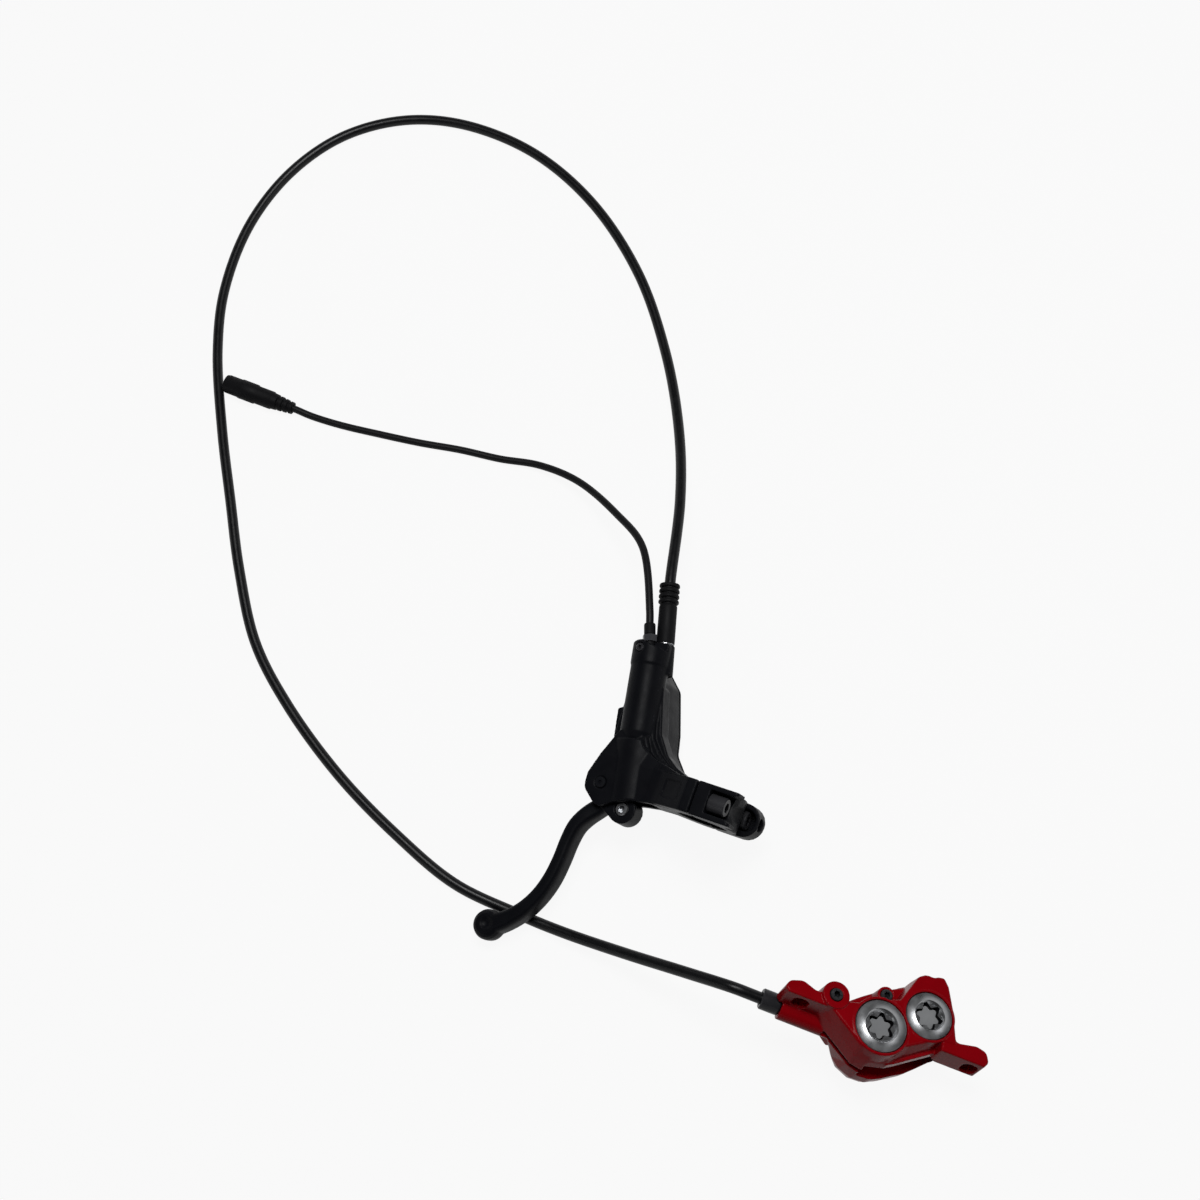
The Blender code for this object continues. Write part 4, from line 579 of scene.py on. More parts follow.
def tint(nodes, links, source, first, second):
    """Blends a colour, or what a socket gives, with a second colour by a value."""
    blend = nodes.new("ShaderNodeMix")
    blend.data_type = "RGBA"
    blend.inputs["B"].default_value = (*second, 1)
    links.new(source, blend.inputs["Factor"])
    if isinstance(first, tuple):
        blend.inputs["A"].default_value = (*first, 1)
    else:
        links.new(first, blend.inputs["A"])
    return blend.outputs["Result"]


def surface(name, dark, light, rough, metallic=0.0, grain=None, specular=0.5, edge_wear_and_highlight=None):
    """A finish with cloudy colour and roughness, a fine grain and paler edges, which are wear and a painted
    highlight.
    """
    made, nodes, links = material(name)
    shader = nodes["Principled BSDF"]
    shader.inputs["Metallic"].default_value = metallic
    shader.inputs["Specular IOR Level"].default_value = specular
    colour = tint(nodes, links, ramp(nodes, links, noise(nodes, links, *CLOUD), 0.0, 1.0), dark, light)
    # Paler edges by pointiness: wear, and a painted highlight along the edges
    if edge_wear_and_highlight:
        geometry = nodes.new("ShaderNodeNewGeometry")
        wear_and_highlight_share = ramp(nodes, links, geometry.outputs["Pointiness"], 0.0, edge_wear_and_highlight[3], *WEAR_AND_HIGHLIGHT_POINTINESS)
        colour = tint(nodes, links, wear_and_highlight_share, colour, edge_wear_and_highlight[:3])
    links.new(colour, shader.inputs["Base Color"])
    links.new(ramp(nodes, links, noise(nodes, links, *PATCH), *rough), shader.inputs["Roughness"])
    if grain:
        scale, strength, distance = grain
        bump = nodes.new("ShaderNodeBump")
        bump.inputs["Strength"].default_value = strength
        bump.inputs["Distance"].default_value = distance
        links.new(noise(nodes, links, scale, *SPECK), bump.inputs["Height"])
        links.new(bump.outputs["Normal"], shader.inputs["Normal"])
    return made


# Noise of every finish: scale, detail and roughness of its clouds, patches and grain
CLOUD = (90.0, 4.0)
PATCH = (260.0, 5.0)
SPECK = (2.0, 0.6)
# Pointiness range of the paler edges, which are wear and a painted highlight
WEAR_AND_HIGHLIGHT_POINTINESS = (0.53, 0.60)

# Name, dark and light colour and roughness, then metallic, grain as scale, strength and depth in metres,
# specular level, and the colour and share of the paler edges, which are wear and a painted highlight
FINISHES = {look[0]: surface(*look) for look in (
    ("black_paint", (0.0030, 0.0032, 0.0044), (0.0040, 0.0043, 0.0057), (0.38, 0.48), 0.0,
     (1500.0, 0.2, 0.00004), 0.05, (0.014, 0.015, 0.018, 0.5)),
    ("black_steel", (0.0036, 0.0036, 0.0046), (0.0055, 0.0055, 0.0068), (0.26, 0.38), 0.0,
     (2200.0, 0.1, 0.00003), 0.12, (0.06, 0.06, 0.065, 0.6)),
    ("black_rubber", (0.0030, 0.0030, 0.0036), (0.0044, 0.0044, 0.0052), (0.5, 0.64), 0.0,
     (1800.0, 0.15, 0.00004), 0.09),
    ("hose_black", (0.0026, 0.0028, 0.0034), (0.0036, 0.0038, 0.0046), (0.3, 0.4), 0.0,
     (600.0, 0.05, 0.00006), 0.2),
    ("cable_black", (0.0028, 0.0028, 0.0034), (0.0040, 0.0040, 0.0048), (0.4, 0.52), 0.0,
     (900.0, 0.06, 0.00005), 0.15),
    ("seal_rubber", (0.004, 0.004, 0.004), (0.007, 0.007, 0.007), (0.6, 0.8)),
    ("caliper_red", (0.185, 0.0004, 0.0026), (0.208, 0.0006, 0.0034), (0.22, 0.3), 0.0,
     (1100.0, 0.05, 0.00003), 0.05, (0.24, 0.012, 0.018, 0.6)),
    ("machined_silver", (0.26, 0.266, 0.275), (0.33, 0.336, 0.345), (0.26, 0.36), 1.0,
     (2600.0, 0.06, 0.00002)),
    # Painted shade for the walls of the caps' star recesses, and painted light on their milled floor
    ("recess_wall", (0.004, 0.004, 0.005), (0.008, 0.008, 0.009), (0.5, 0.6), 0.0, None, 0.1),
    ("recess_floor", (0.14, 0.145, 0.15), (0.19, 0.195, 0.2), (0.5, 0.6)),
    ("steel", (0.3, 0.3, 0.31), (0.42, 0.42, 0.43), (0.3, 0.42), 1.0),
    ("brass", (0.45, 0.3, 0.1), (0.55, 0.38, 0.14), (0.3, 0.4), 1.0),
    ("lining", (0.05, 0.04, 0.035), (0.12, 0.09, 0.06), (0.8, 0.95), 0.0, (1200.0, 0.8, 0.0002)),
    ("phenolic", (0.02, 0.018, 0.017), (0.03, 0.027, 0.024), (0.5, 0.6)),
)}


def fine_piece(node, body="brake_frame", voxel=0.0, smoothing=0):
    """A fine piece in the place of its node. A casting is remeshed and softened."""
    mesh = evaluated(MADE[node])
    mesh.transform(TO_METRES @ MADE[node].matrix_world)
    mesh.shade_smooth()
    mesh.set_sharp_from_angle(angle=FINE_SHARP_ANGLE)
    piece = bpy.data.objects.new(node + "_fine", mesh)
    FINE.objects.link(piece)
    if voxel:
        remesh = piece.modifiers.new("cast", "REMESH")
        remesh.mode = "VOXEL"
        remesh.voxel_size = voxel
        soften = piece.modifiers.new("soften", "SMOOTH")
        soften.factor = 0.5
        soften.iterations = smoothing
        softened = evaluated(piece)
        piece.modifiers.clear()
        piece.data = softened
        softened.materials.clear()
        softened.materials.append(mesh.materials[0])
        softened.shade_smooth()
    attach(piece, body)
    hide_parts(node)
    return piece


# Camera
camera_data = bpy.data.cameras.new("camera")
camera_data.sensor_width = 36.0
camera_data.lens = 51.75
camera_data.clip_end = 50.0
camera = bpy.data.objects.new("camera", camera_data)
bpy.context.scene.collection.objects.link(camera)
right = Vector((0.95196744, 0.29556317, -0.08000256))
up = Vector((-0.25628899, 0.91209068, 0.32001024))
back = Vector((0.168, -0.284, 0.944)).normalized()
stand = Matrix((right, up, back)).transposed().to_4x4()
stand.translation = Vector((135.88534 - CENTRE_X, -230.43393 - CENTRE_Y, 765.6085)) * MM
camera.matrix_world = stand
bpy.context.scene.camera = camera


def combined(operation, first, second, clamp=False):
    """A value of the floor's material added to or multiplied by another value or a number."""
    node = floor_nodes.new("ShaderNodeMath")
    node.operation = operation
    node.use_clamp = clamp
    floor_links.new(first, node.inputs[0])
    if isinstance(second, float):
        node.inputs[1].default_value = second
    else:
        floor_links.new(second, node.inputs[1])
    return node.outputs["Value"]


# A round floor with a low wall, in metres, that shows almost white and keeps the shadows
FLOOR_RADIUS = 3.0
WALL_HEIGHT = 1.1
FLOOR_TONE = (0.42, 0.42, 0.42, 1)
WHITE_SHARE = 0.92
floor_mesh = bpy.data.meshes.new("floor")
floor_bm = bmesh.new()
bmesh.ops.create_circle(floor_bm, cap_ends=True, segments=96, radius=FLOOR_RADIUS)
wall = bmesh.ops.extrude_edge_only(floor_bm, edges=list(floor_bm.edges))["geom"]
wall_top = [v for v in wall if isinstance(v, bmesh.types.BMVert)]
bmesh.ops.translate(floor_bm, verts=wall_top, vec=(0, 0, WALL_HEIGHT))
floor_bm.to_mesh(floor_mesh)
floor_bm.free()
floor = bpy.data.objects.new("floor", floor_mesh)
floor_paint, floor_nodes, floor_links = material("floor")
floor_shader = floor_nodes["Principled BSDF"]
floor_shader.inputs["Base Color"].default_value = FLOOR_TONE
floor_shader.inputs["Roughness"].default_value = 0.9
floor_shader.inputs["Specular IOR Level"].default_value = 0.0
seen = floor_nodes.new("ShaderNodeLightPath").outputs
mirrored = combined("ADD", seen["Is Glossy Ray"], seen["Is Transmission Ray"])
shown = combined("ADD", seen["Is Camera Ray"], mirrored, clamp=True)
white = floor_nodes.new("ShaderNodeEmission")
white.inputs["Color"].default_value = (1, 1, 1, 1)
white.inputs["Strength"].default_value = 1.0
both = floor_nodes.new("ShaderNodeMixShader")
floor_links.new(combined("MULTIPLY", shown, WHITE_SHARE), both.inputs["Fac"])
floor_links.new(floor_shader.outputs["BSDF"], both.inputs[1])
floor_links.new(white.outputs["Emission"], both.inputs[2])
floor_links.new(both.outputs["Shader"], floor_nodes["Material Output"].inputs["Surface"])
floor_mesh.materials.append(floor_paint)
bpy.context.scene.collection.objects.link(floor)

world = bpy.data.worlds.new("studio")
world.use_nodes = True
background = world.node_tree.nodes["Background"]
background.inputs["Color"].default_value = (1, 1, 1, 1)
background.inputs["Strength"].default_value = 0.05
bpy.context.scene.world = world

# Soft rectangular lamps: place, target and size in metres, and power in watts
for lamp_name, lamp_place, target, (width, depth), power in (
        ("ceiling", (-0.09, 0.32, 1.25), (-0.03, 0, 0), (0.55, 0.45), 14.0),
        ("window", (-0.9, -0.85, 0.8), (-0.03, 0, 0), (0.3, 0.5), 0.8),
        ("right", (1.25, 0.25, 0.7), (0.0, 0, 0), (0.3, 0.6), 2.0)):
    light = bpy.data.lights.new(lamp_name, "AREA")
    light.shape = "RECTANGLE"
    light.size = width
    light.size_y = depth
    light.energy = power
    lamp = bpy.data.objects.new(lamp_name, light)
    lamp.location = lamp_place
    lamp.rotation_euler = (Vector(target) - Vector(lamp_place)).to_track_quat("-Z", "Y").to_euler()
    bpy.context.scene.collection.objects.link(lamp)
bpy.context.scene.view_settings.view_transform = "Standard"

lever_frame = frame("lever_frame", None, LEVER_PLACE, LEVER_TURN, "YXZ")
bore_frame = frame("bore_frame", lever_frame,
                   (BORE_V * math.cos(BORE_LEAN), BORE_V * math.sin(BORE_LEAN), 0), (-90 * DEG, 0, BORE_LEAN))
hose_port = frame("hose_port_frame", bore_frame, (*HOSE_PORT, HEAD_END), HOSE_PORT_TURN)
switch_port = frame("switch_port_frame", bore_frame, (*SWITCH_PORT, HEAD_END), SWITCH_PORT_TURN)
clamp_frame = frame("clamp_frame", lever_frame, (BAR_X, CLAMP_Y, 0), (0, 0, 0))
caliper_frame = frame("caliper_frame", None, CALIPER_PLACE, CALIPER_TURN, "YXZ")
pad_frame = frame("pad_frame", caliper_frame, (PAD_X, PAD_Y, 0), (0, 0, PAD_TURN))
caliper_port = frame("caliper_port_frame", caliper_frame, CALIPER_PORT, (0, -90 * DEG, 0))
pin_x = PIN_ARM * math.cos(PIN_ANGLE)
pin_y = PIN_ARM * math.sin(PIN_ANGLE)


def along(port, *heights):
    """Places on a port's axis."""
    return [port.matrix_world @ Vector((0, 0, height)) for height in heights]


def shifted(points):
    """Places of a route in the brake's own axes."""
    return [Vector((x - CENTRE_X, y - CENTRE_Y, z)) for x, y, z in points]


def cord_curve(node, points, radius, spacing, colour):
    """A cord in the place of its node: one smooth open curve in the brake's own axes, and its length."""
    curve = bpy.data.curves.new(node + "_fine", "CURVE")
    curve.dimensions = "3D"
    curve.bevel_depth = radius * MM
    curve.bevel_resolution = 8
    curve.use_fill_caps = True
    route = [place * MM for place in smooth_route(points, spacing)]
    spline = curve.splines.new("POLY")
    spline.points.add(len(route) - 1)
    for point, place in zip(spline.points, route):
        point.co = (*place, 1)
    spline.use_smooth = True
    curve.materials.append(FINISHES[colour])
    obj = bpy.data.objects.new(node + "_fine", curve)
    FINE.objects.link(obj)
    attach(obj, "brake_frame")
    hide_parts(node)
    return obj, sum((b - a).length for a, b in zip(route, route[1:]))


hose, hose_length = cord_curve("brake_hose", [
    *along(hose_port, -5.0, 8, 20, 30), *shifted(HOSE_ROUTE), *along(caliper_port, 20, 12, 4, -6.1)],
    HOSE_RADIUS, HOSE_SPACING, "hose_black")
connector_start, connector_stop = shifted([CONNECTOR_BIG_END, CONNECTOR_SMALL_END])
connector_axis = (connector_stop - connector_start).normalized()
connector_frame = frame("connector_frame", None, connector_start,
                        connector_axis.to_track_quat("Z", "Y").to_euler())
turned("cable_connector", connector_frame, [
    (2.1, 37.0), (3.0, 37.0), (3.1, 35.6), (2.7, 35.3), (2.7, 34.5), (3.3, 34.2), (3.4, 32.8), (2.9, 32.5),
    (2.9, 31.7), (3.6, 31.4), (3.7, 30.0), (3.2, 29.7), (3.2, 28.9), (3.9, 28.6), (4.1, 26.0), (4.5, 25.4),
    (4.5, 17.2), (4.9, 16.4), (4.9, 8.4), (4.6, 7.6), (4.6, 1.2), (4.3, 0.4), (4.3, 0.0), (3.3, 0.0),
    (3.3, 4.6), (2.1, 4.9)],
    "black_rubber", ring=True)
turned("connector_contacts", connector_frame, [
    (0, 8.4), (1.8, 8.4), (1.8, 5.0), (0.5, 4.9), (0.5, 4.2), (0, 4.2)], "brass", steps=SMALL_STEPS)
cable, cable_length = cord_curve("switch_cable", [
    *along(switch_port, 5.6, 9.5, 15), *shifted(CABLE_ROUTE), *along(connector_frame, 38.5, 34, 20, 9)],
    CABLE_RADIUS, CABLE_SPACING, "cable_black")
plug = fine_piece("cable_connector")
contacts = fine_piece("connector_contacts")

# Master cylinder casting: clevis, arm, clamp half, barrel, head and reservoir in one
housing_outline = rounded([
    (-1.0, 25.4, 4), (-7.6, 2.4, 6), (-6.9, -4.2, 5), (1.6, -10.8, 4), (8.2, -6.4, 3), (16.2, -3.2, 6),
    (24.0, -1.9, 4), (36.0, -1.4), (36.0, 13.4), (27.0, 15.6, 6), (19.4, 17.2, 5), (12.8, 20.8, 5),
    (9.0, 27.0, 3)])
housing = slab("master_cylinder_body", lever_frame, housing_outline, -HOUSING_HALF, HOUSING_HALF,
               "black_paint")
cut(housing, block("neck slope", lever_frame, (-20, 0, 0), (24, 24, 9), (0, 12.5, HOUSING_HALF),
                   (-11 * DEG, 0, 0)))
swelling = slab("swelling", lever_frame, inset_outline(housing_outline, 0.1), 2, HOUSING_HALF + 4)
swelling_limit = upright("swelling limit", bore_frame, (1.2, 4.2), -16, 20.4, HOUSING_HALF + 5.2, steps=120)
boolean(swelling, [swelling_limit], "INTERSECT")
clamp_half = slab("clamp half", lever_frame, rounded([
    (BAR_X - 0.5 * CLAMP_SPLIT, 20.2), (42.4, 20.2, 3), (36.5, 16.6, 6), (26.5, 9.8, 8), (20.0, 8.7),
    (20.0, -8.9), (29.0, -10.4, 7), (34.6, -16.0, 6), (41.0, -20.2, 3.5),
    (BAR_X - 0.5 * CLAMP_SPLIT, -20.2)]),
    -(CLAMP_Y + CLAMP_WIDTH / 2), -(CLAMP_Y - CLAMP_WIDTH / 2), turn=(90 * DEG, 0, 0))
round_edges(clamp_half, 0.7)
barrel = turned("barrel", bore_frame, [
    (0, 66), (BARREL_RADIUS - 1.2, 66), (BARREL_RADIUS - 0.9, HEAD_END),
    (HEAD_RADIUS - 0.9, HEAD_END), (HEAD_RADIUS, HEAD_END - 0.9),
    (HEAD_RADIUS, HEAD_START + 1.6), (BARREL_RADIUS, HEAD_START + 0.6),
    (BARREL_RADIUS, 24.5), (BARREL_RADIUS - 0.9, 21.5), (BARREL_RADIUS - 2.8, 19.4), (0, 18.6)],
    steps=FINE_STEPS)
port_boss = upright("port boss", hose_port, (0, 0), -14, -0.12, PORT_BOSS_RADIUS, steps=FINE_STEPS)
reservoir_outline = rounded([
    (-8.6, 57.4, 6), (-1.6, 60.4, 5), (7.4, 52.2, 5), (14.6, 33.2, 8), (16.9, 24.4, 6), (24.0, 16.6, 5),
    (22.0, 10.5, 4), (-2.0, 10.5, 5), (-6.6, 24.0, 8)])
reservoir = drafted("reservoir", lever_frame, reservoir_outline, [
    (RESERVOIR_SEAT, 0.0), (-13.0, 0.1), (-5.0, 0.4), (0.6, 1.0)])
webs = []
for level, low, high, corners in (
        ("upper", -8.0, 5.1, (
            (-3.0, 46.0, 3), (7.6, 47.4, 2), (9.6, 36.4), (11.4, 25.8, 3), (15.4, 19.6, 3), (19.5, 16.8),
            (33.0, 12.0), (33.0, 6.0), (8.0, 8.0), (0.0, 24.0))),
        ("middle", -7.8, 3.3, (
            (-2.8, 44.8, 3), (8.2, 48.6, 2), (10.8, 35.7), (14.2, 25.9, 4), (19.4, 20.2, 3), (25.0, 16.4),
            (36.0, 12.6), (36.0, 6.2), (8.2, 7.8), (0.2, 24.2))),
        ("lower", -7.6, 1.1, (
            (-2.6, 43.6, 3), (8.8, 50.6, 2), (10.9, 43.6), (16.0, 29.0, 4), (22.4, 20.8, 4), (28.2, 17.0),
            (36.2, 14.0), (39.0, 13.0), (39.0, 6.4), (8.4, 7.6), (0.4, 24.4)))):
    webs.append(drafted(f"web {level}", lever_frame, rounded(corners), [
        (low, 0), (high, 0), (high + WEB_EDGE, WEB_EDGE)]))
side_lug = slab("side lug", lever_frame, rounded([
    (-9.6, 34.6, 1.2), (-5.0, 37.2, 1), (1.0, 36.0), (1.0, 20.0), (-6.6, 21.4, 1.5)]), -5.6, -2.0)
join(housing, swelling, clamp_half, barrel, port_boss, reservoir, *webs, side_lug)

blade_slot = slab("blade slot", lever_frame, rounded([
    (-18, -34), (26, -34), (26, -3), (21.6, 5.0, 2), (9.5, 7.0), (4.5, 8.3, 2), (-4.5, 8.6, 3), (-18, 8.6)]),
    -SLOT_HALF, SLOT_HALF)
bore = upright("bore", bore_frame, (0, 0), BORE_START, BORE_END, BORE_RADIUS, steps=FINE_STEPS)
clip_groove = upright("clip groove", bore_frame, (0, 0), CLIP_START, CLIP_START + 1.5, BORE_RADIUS + 0.9)
port_hole = upright("port hole", hose_port, (0, 0), -PORT_DEPTH, 4, PORT_RADIUS)
passage = rod("passage", bore_frame, (3.6, 0.6, BORE_END - 2), (4.6, 1.6, HEAD_END - PORT_DEPTH + 1),
              0.8, steps=HIDDEN_STEPS)
switch_hole = upright("switch hole", switch_port, (0, 0), -7.4, 4, SWITCH_HOLE_RADIUS, steps=SMALL_STEPS)
port_face = upright("port spot face", hose_port, (0, 0), 0, 5, PORT_FACE_RADIUS)
switch_face = upright("switch spot face", switch_port, (0, 0), 0, 5, SWITCH_FACE_RADIUS)
pivot_hole = upright("pivot hole", lever_frame, (0, 0), -14, 14, PIVOT_RADIUS + SEAT_GAP)
bar_hole = rod("bar hole", clamp_frame, (0, -20, 0), (0, 20, 0), BAR_RADIUS, steps=FINE_STEPS)
reservoir_well = slab("reservoir well", lever_frame, rounded([
    (-6.1, 55.4, 4), (-1.8, 57.6, 4), (5.1, 51.0, 4), (12.2, 33.0, 7), (14.5, 23.7, 5), (20.2, 16.6, 3),
    (19.6, 12.9, 3), (-0.4, 12.9, 3), (-4.4, 24.2, 7)]), -40, -12.4)
feed_port = upright("feed port", lever_frame, (5.0, 36.0), -16, 0, 1.1, steps=HIDDEN_STEPS)
bleed_hole = upright("bleed hole", lever_frame, LEVER_BLEED, 3.8, 12, LEVER_BLEED_RADIUS, steps=SMALL_STEPS)
bleed_spot = upright("bleed spot face", lever_frame, LEVER_BLEED, 6.7, 12, LEVER_BLEED_FACE, steps=SMALL_STEPS)
recess = block("arm recess", lever_frame, (0, -4.0, -0.55), (11.5, 4.0, 8),
               place=(29.8, CLAMP_Y + 0.3, 12.05), turn=(0, -34.2 * DEG, 0))
head_slant = block("head slant", bore_frame, (0, -14, 0), (20, -2.6, 9),
                   place=(-2.4, 0, HEAD_END - 0.7), turn=(0, 17 * DEG, 0))
cut(housing, head_slant, blade_slot, bore, clip_groove, port_hole, port_face, passage, switch_hole,
    switch_face, pivot_hole, bar_hole, reservoir_well, feed_port, bleed_hole, bleed_spot, recess)
for sign in (-1, 1):
    line = (CLAMP_BOLT_SHIFT, sign * CLAMP_BOLT_OFFSET)
    cut(housing, rod(f"clamp thread {sign}", clamp_frame, (-CLAMP_BOLT_REACH - 1.2, *line), (4, *line),
                     CLAMP_BOLT_RADIUS + SEAT_GAP, steps=SMALL_STEPS))
for number, (x, y) in enumerate(COVER_SCREWS):
    hole = upright(f"cover thread {number}", lever_frame, (x, y), -40, -17.5, COVER_SCREW_RADIUS + SEAT_GAP,
                   steps=HIDDEN_STEPS)
    pillar = upright(f"cover pillar {number}", lever_frame, (x, y), RESERVOIR_SEAT, -11.5, COVER_PILLAR_RADIUS,
                     steps=FINE_STEPS)
    join(housing, pillar)
    cut(housing, hole)

# Clamp cap and its two bolts
cap = slab("clamp_cap", lever_frame, rounded([
    (BAR_X + 0.25, 20.2), (66.0, 20.2, 1.5), (66.0, 11.6, 1), (60.5, 10.4, 2), (62.0, 5.0, 6),
    (62.2, -1.0, 8), (60.8, -8.0, 6), (57.0, -12.7, 2), (BAR_X + 0.25, -12.7)]),
    -(CLAMP_Y + CLAMP_WIDTH / 2), -(CLAMP_Y - CLAMP_WIDTH / 2), "black_paint", turn=(90 * DEG, 0, 0))
cap_bar = rod("cap bar", clamp_frame, (0, -20, 0), (0, 20, 0), BAR_RADIUS, steps=FINE_STEPS)
low_lug = slab("low lug", clamp_frame, rounded([
    (0.25, -7.45), (20.2, -7.45, 7.4), (20.2, 7.45, 7.4), (0.25, 7.45)], 5), -20.8, -11.9)
join(cap, low_lug)
scallop = rod("scallop", clamp_frame, (19.9, 0, -11.0), (19.9, 0, 30), 6.1, steps=FINE_STEPS)
head_channel = block("head channel", clamp_frame,
                     (CLAMP_BOLT_SEAT, -4.9, CLAMP_BOLT_OFFSET - 4.5), (30, 5.3, 30))
low_seat = slab("low bolt seat", clamp_frame, rounded([
    (CLAMP_BOLT_SEAT, -4.6), (18.3, -4.6, 4.5), (18.3, 5.0, 4.5), (CLAMP_BOLT_SEAT, 5.0)], 5),
    -19.8, -11.0)
cut(cap, cap_bar, scallop, head_channel, low_seat)
for sign in (-1, 1):
    line = (CLAMP_BOLT_SHIFT, sign * CLAMP_BOLT_OFFSET)
    cut(cap, rod(f"cap bolt hole {sign}", clamp_frame, (-2, *line), (30, *line),
                 CLAMP_BOLT_RADIUS + CLEARANCE, steps=SMALL_STEPS))
bolt_length = CLAMP_BOLT_SEAT + CLAMP_BOLT_HEAD + CLAMP_BOLT_REACH + 0.1
for label, sign in (("upper", 1), ("lower", -1)):
    bolt = turned(f"clamp_bolt_{label}", clamp_frame, [
        (0, 0), (CLAMP_BOLT_HEAD_RADIUS - 0.5, 0), (CLAMP_BOLT_HEAD_RADIUS, -0.5),
        (CLAMP_BOLT_HEAD_RADIUS, -CLAMP_BOLT_HEAD), (CLAMP_BOLT_RADIUS, -CLAMP_BOLT_HEAD),
        (CLAMP_BOLT_RADIUS, 0.6 - bolt_length), (CLAMP_BOLT_RADIUS - 0.6, -bolt_length), (0, -bolt_length)],
        "black_steel",
        (CLAMP_BOLT_SEAT + CLAMP_BOLT_HEAD + 0.1, CLAMP_BOLT_SHIFT, sign * CLAMP_BOLT_OFFSET),
        (0, 90 * DEG, 0))
    hex_socket(bolt, 4.0, -3.2, 2)

# Reservoir cover, its screws and the bleed screw
cover = drafted("reservoir_cover", lever_frame, inset_outline(reservoir_outline, -0.2), [
    (RESERVOIR_DROP, 1.4), (RESERVOIR_DROP + 0.9, 0.1), (RESERVOIR_DROP + COVER_THICKNESS - 0.1, 0.0)],
    "black_paint")
for number, (x, y) in enumerate(COVER_SCREWS):
    screw = turned(f"cover_screw_{number + 1}", lever_frame, [
        (0, 6.6), (COVER_SCREW_RADIUS - 0.2, 6.6), (COVER_SCREW_RADIUS, 6.4), (COVER_SCREW_RADIUS, 1.2),
        (2.1, 1.2), (2.1, 0.2), (1.9, 0), (0, 0)], "black_steel", place=(x, y, RESERVOIR_DROP + 0.1),
        steps=FINE_STEPS)
    hex_socket(screw, 1.9, -1, 0.8)
    sink = upright(f"cover sink {number}", lever_frame, (x, y), RESERVOIR_DROP - 1, RESERVOIR_DROP + 1.4,
                   COVER_PILLAR_RADIUS, steps=FINE_STEPS)
    through = upright(f"cover through {number}", lever_frame, (x, y), -30, -20, COVER_SCREW_RADIUS + SEAT_GAP,
                      steps=HIDDEN_STEPS)
    cut(cover, sink, through)
bleed = turned("lever_bleed_screw", lever_frame, [
    (0, 8.2), (1.6, 8.2), (1.85, 7.9), (1.85, 6.85), (1.1, 6.85), (1.1, 4.1), (0, 4.1)], "black_steel",
    place=(*LEVER_BLEED, 0), steps=SMALL_STEPS)
hex_socket(bleed, 1.6, 7.3, 9)

# Lever blade with its hub and push rod boss
BLADE_STEPS = 40
BLADE_SQUARENESS = 0.55


def blade_section(x, y, heading, half_width, half_height):
    """Rounded section square to the blade's path."""
    side = Vector((-heading.y, heading.x))
    points = []
    for k in range(BLADE_STEPS):
        angle = 2 * math.pi * (k + 0.5) / BLADE_STEPS
        across = math.copysign(abs(math.cos(angle)) ** BLADE_SQUARENESS, math.cos(angle)) * half_width
        up = math.copysign(abs(math.sin(angle)) ** BLADE_SQUARENESS, math.sin(angle)) * half_height
        points.append((x + side.x * across, y + side.y * across, up))
    return points


lever = slab("brake_lever", lever_frame, hull_of_circles(0, 0, HUB_RADIUS, pin_x, pin_y, BOSS_RADIUS),
             -HUB_HALF, HUB_HALF, "black_paint")
sections = []
blade_line = smooth_route(BLADE_PATH, 2.0)
for index, (x, y, half_width, half_height) in enumerate(blade_line):
    first = Vector(blade_line[max(index - 1, 0)][:2])
    last = Vector(blade_line[min(index + 1, len(blade_line) - 1)][:2])
    sections.append(blade_section(x, y, (last - first).normalized(), half_width, half_height))
blade = lofted("blade", lever_frame, sections)
tip = turned("blade tip", lever_frame, [
    (0, 5.9), (4.4, 5.7), (5.9, 4.6), (6.7, 2.6), (6.8, 0), (6.6, -2.8), (5.6, -4.8), (4.2, -5.7), (0, -5.9)],
    place=(TIP_X, TIP_Y, 0))
join(lever, blade, tip)
tip_dimple = ball("tip dimple", lever_frame, (TIP_X + 0.8, TIP_Y + 0.6, BLADE_HALF_HEIGHT + 3.2), 4.4)
bush_hole = upright("bush hole", lever_frame, (0, 0), -12, 12, PIVOT_RADIUS + BUSH_WALL + 2 * SEAT_GAP)
cross_hole = upright("cross pin hole", lever_frame, (pin_x, pin_y), -12, 12, CROSS_PIN_RADIUS + SEAT_GAP)
rod_slot = slab("rod slot", lever_frame, rounded([
    (5.6, 0), (4.0, -4.4, 3), (-4.0, -4.4, 3), (-5.6, 0), (-5.6, 20), (5.6, 20)]), -2.5, 2.5,
    place=(pin_x, pin_y, 0), turn=(0, 0, BORE_LEAN - 3 * DEG))
cut(lever, tip_dimple, bush_hole, cross_hole, rod_slot)
turned("lever_pivot_pin", lever_frame, [
    (0, 9.2), (0.45, 9.2), (0.8, 9.7), (2.2, 9.6), (2.5, 9.2), (2.5, -9.2), (2.2, -9.6), (0, -9.6)],
    "black_paint")
cross_pin = turned("pushrod_cross_pin", lever_frame, [
    (0, 5.0), (2.6, 5.0), (3.0, 4.6), (3.0, -4.6), (2.6, -5.0), (0, -5.0)],
    "machined_silver", (pin_x, pin_y, 0))
hex_socket(cross_pin, 2.9, 2.6, 8)

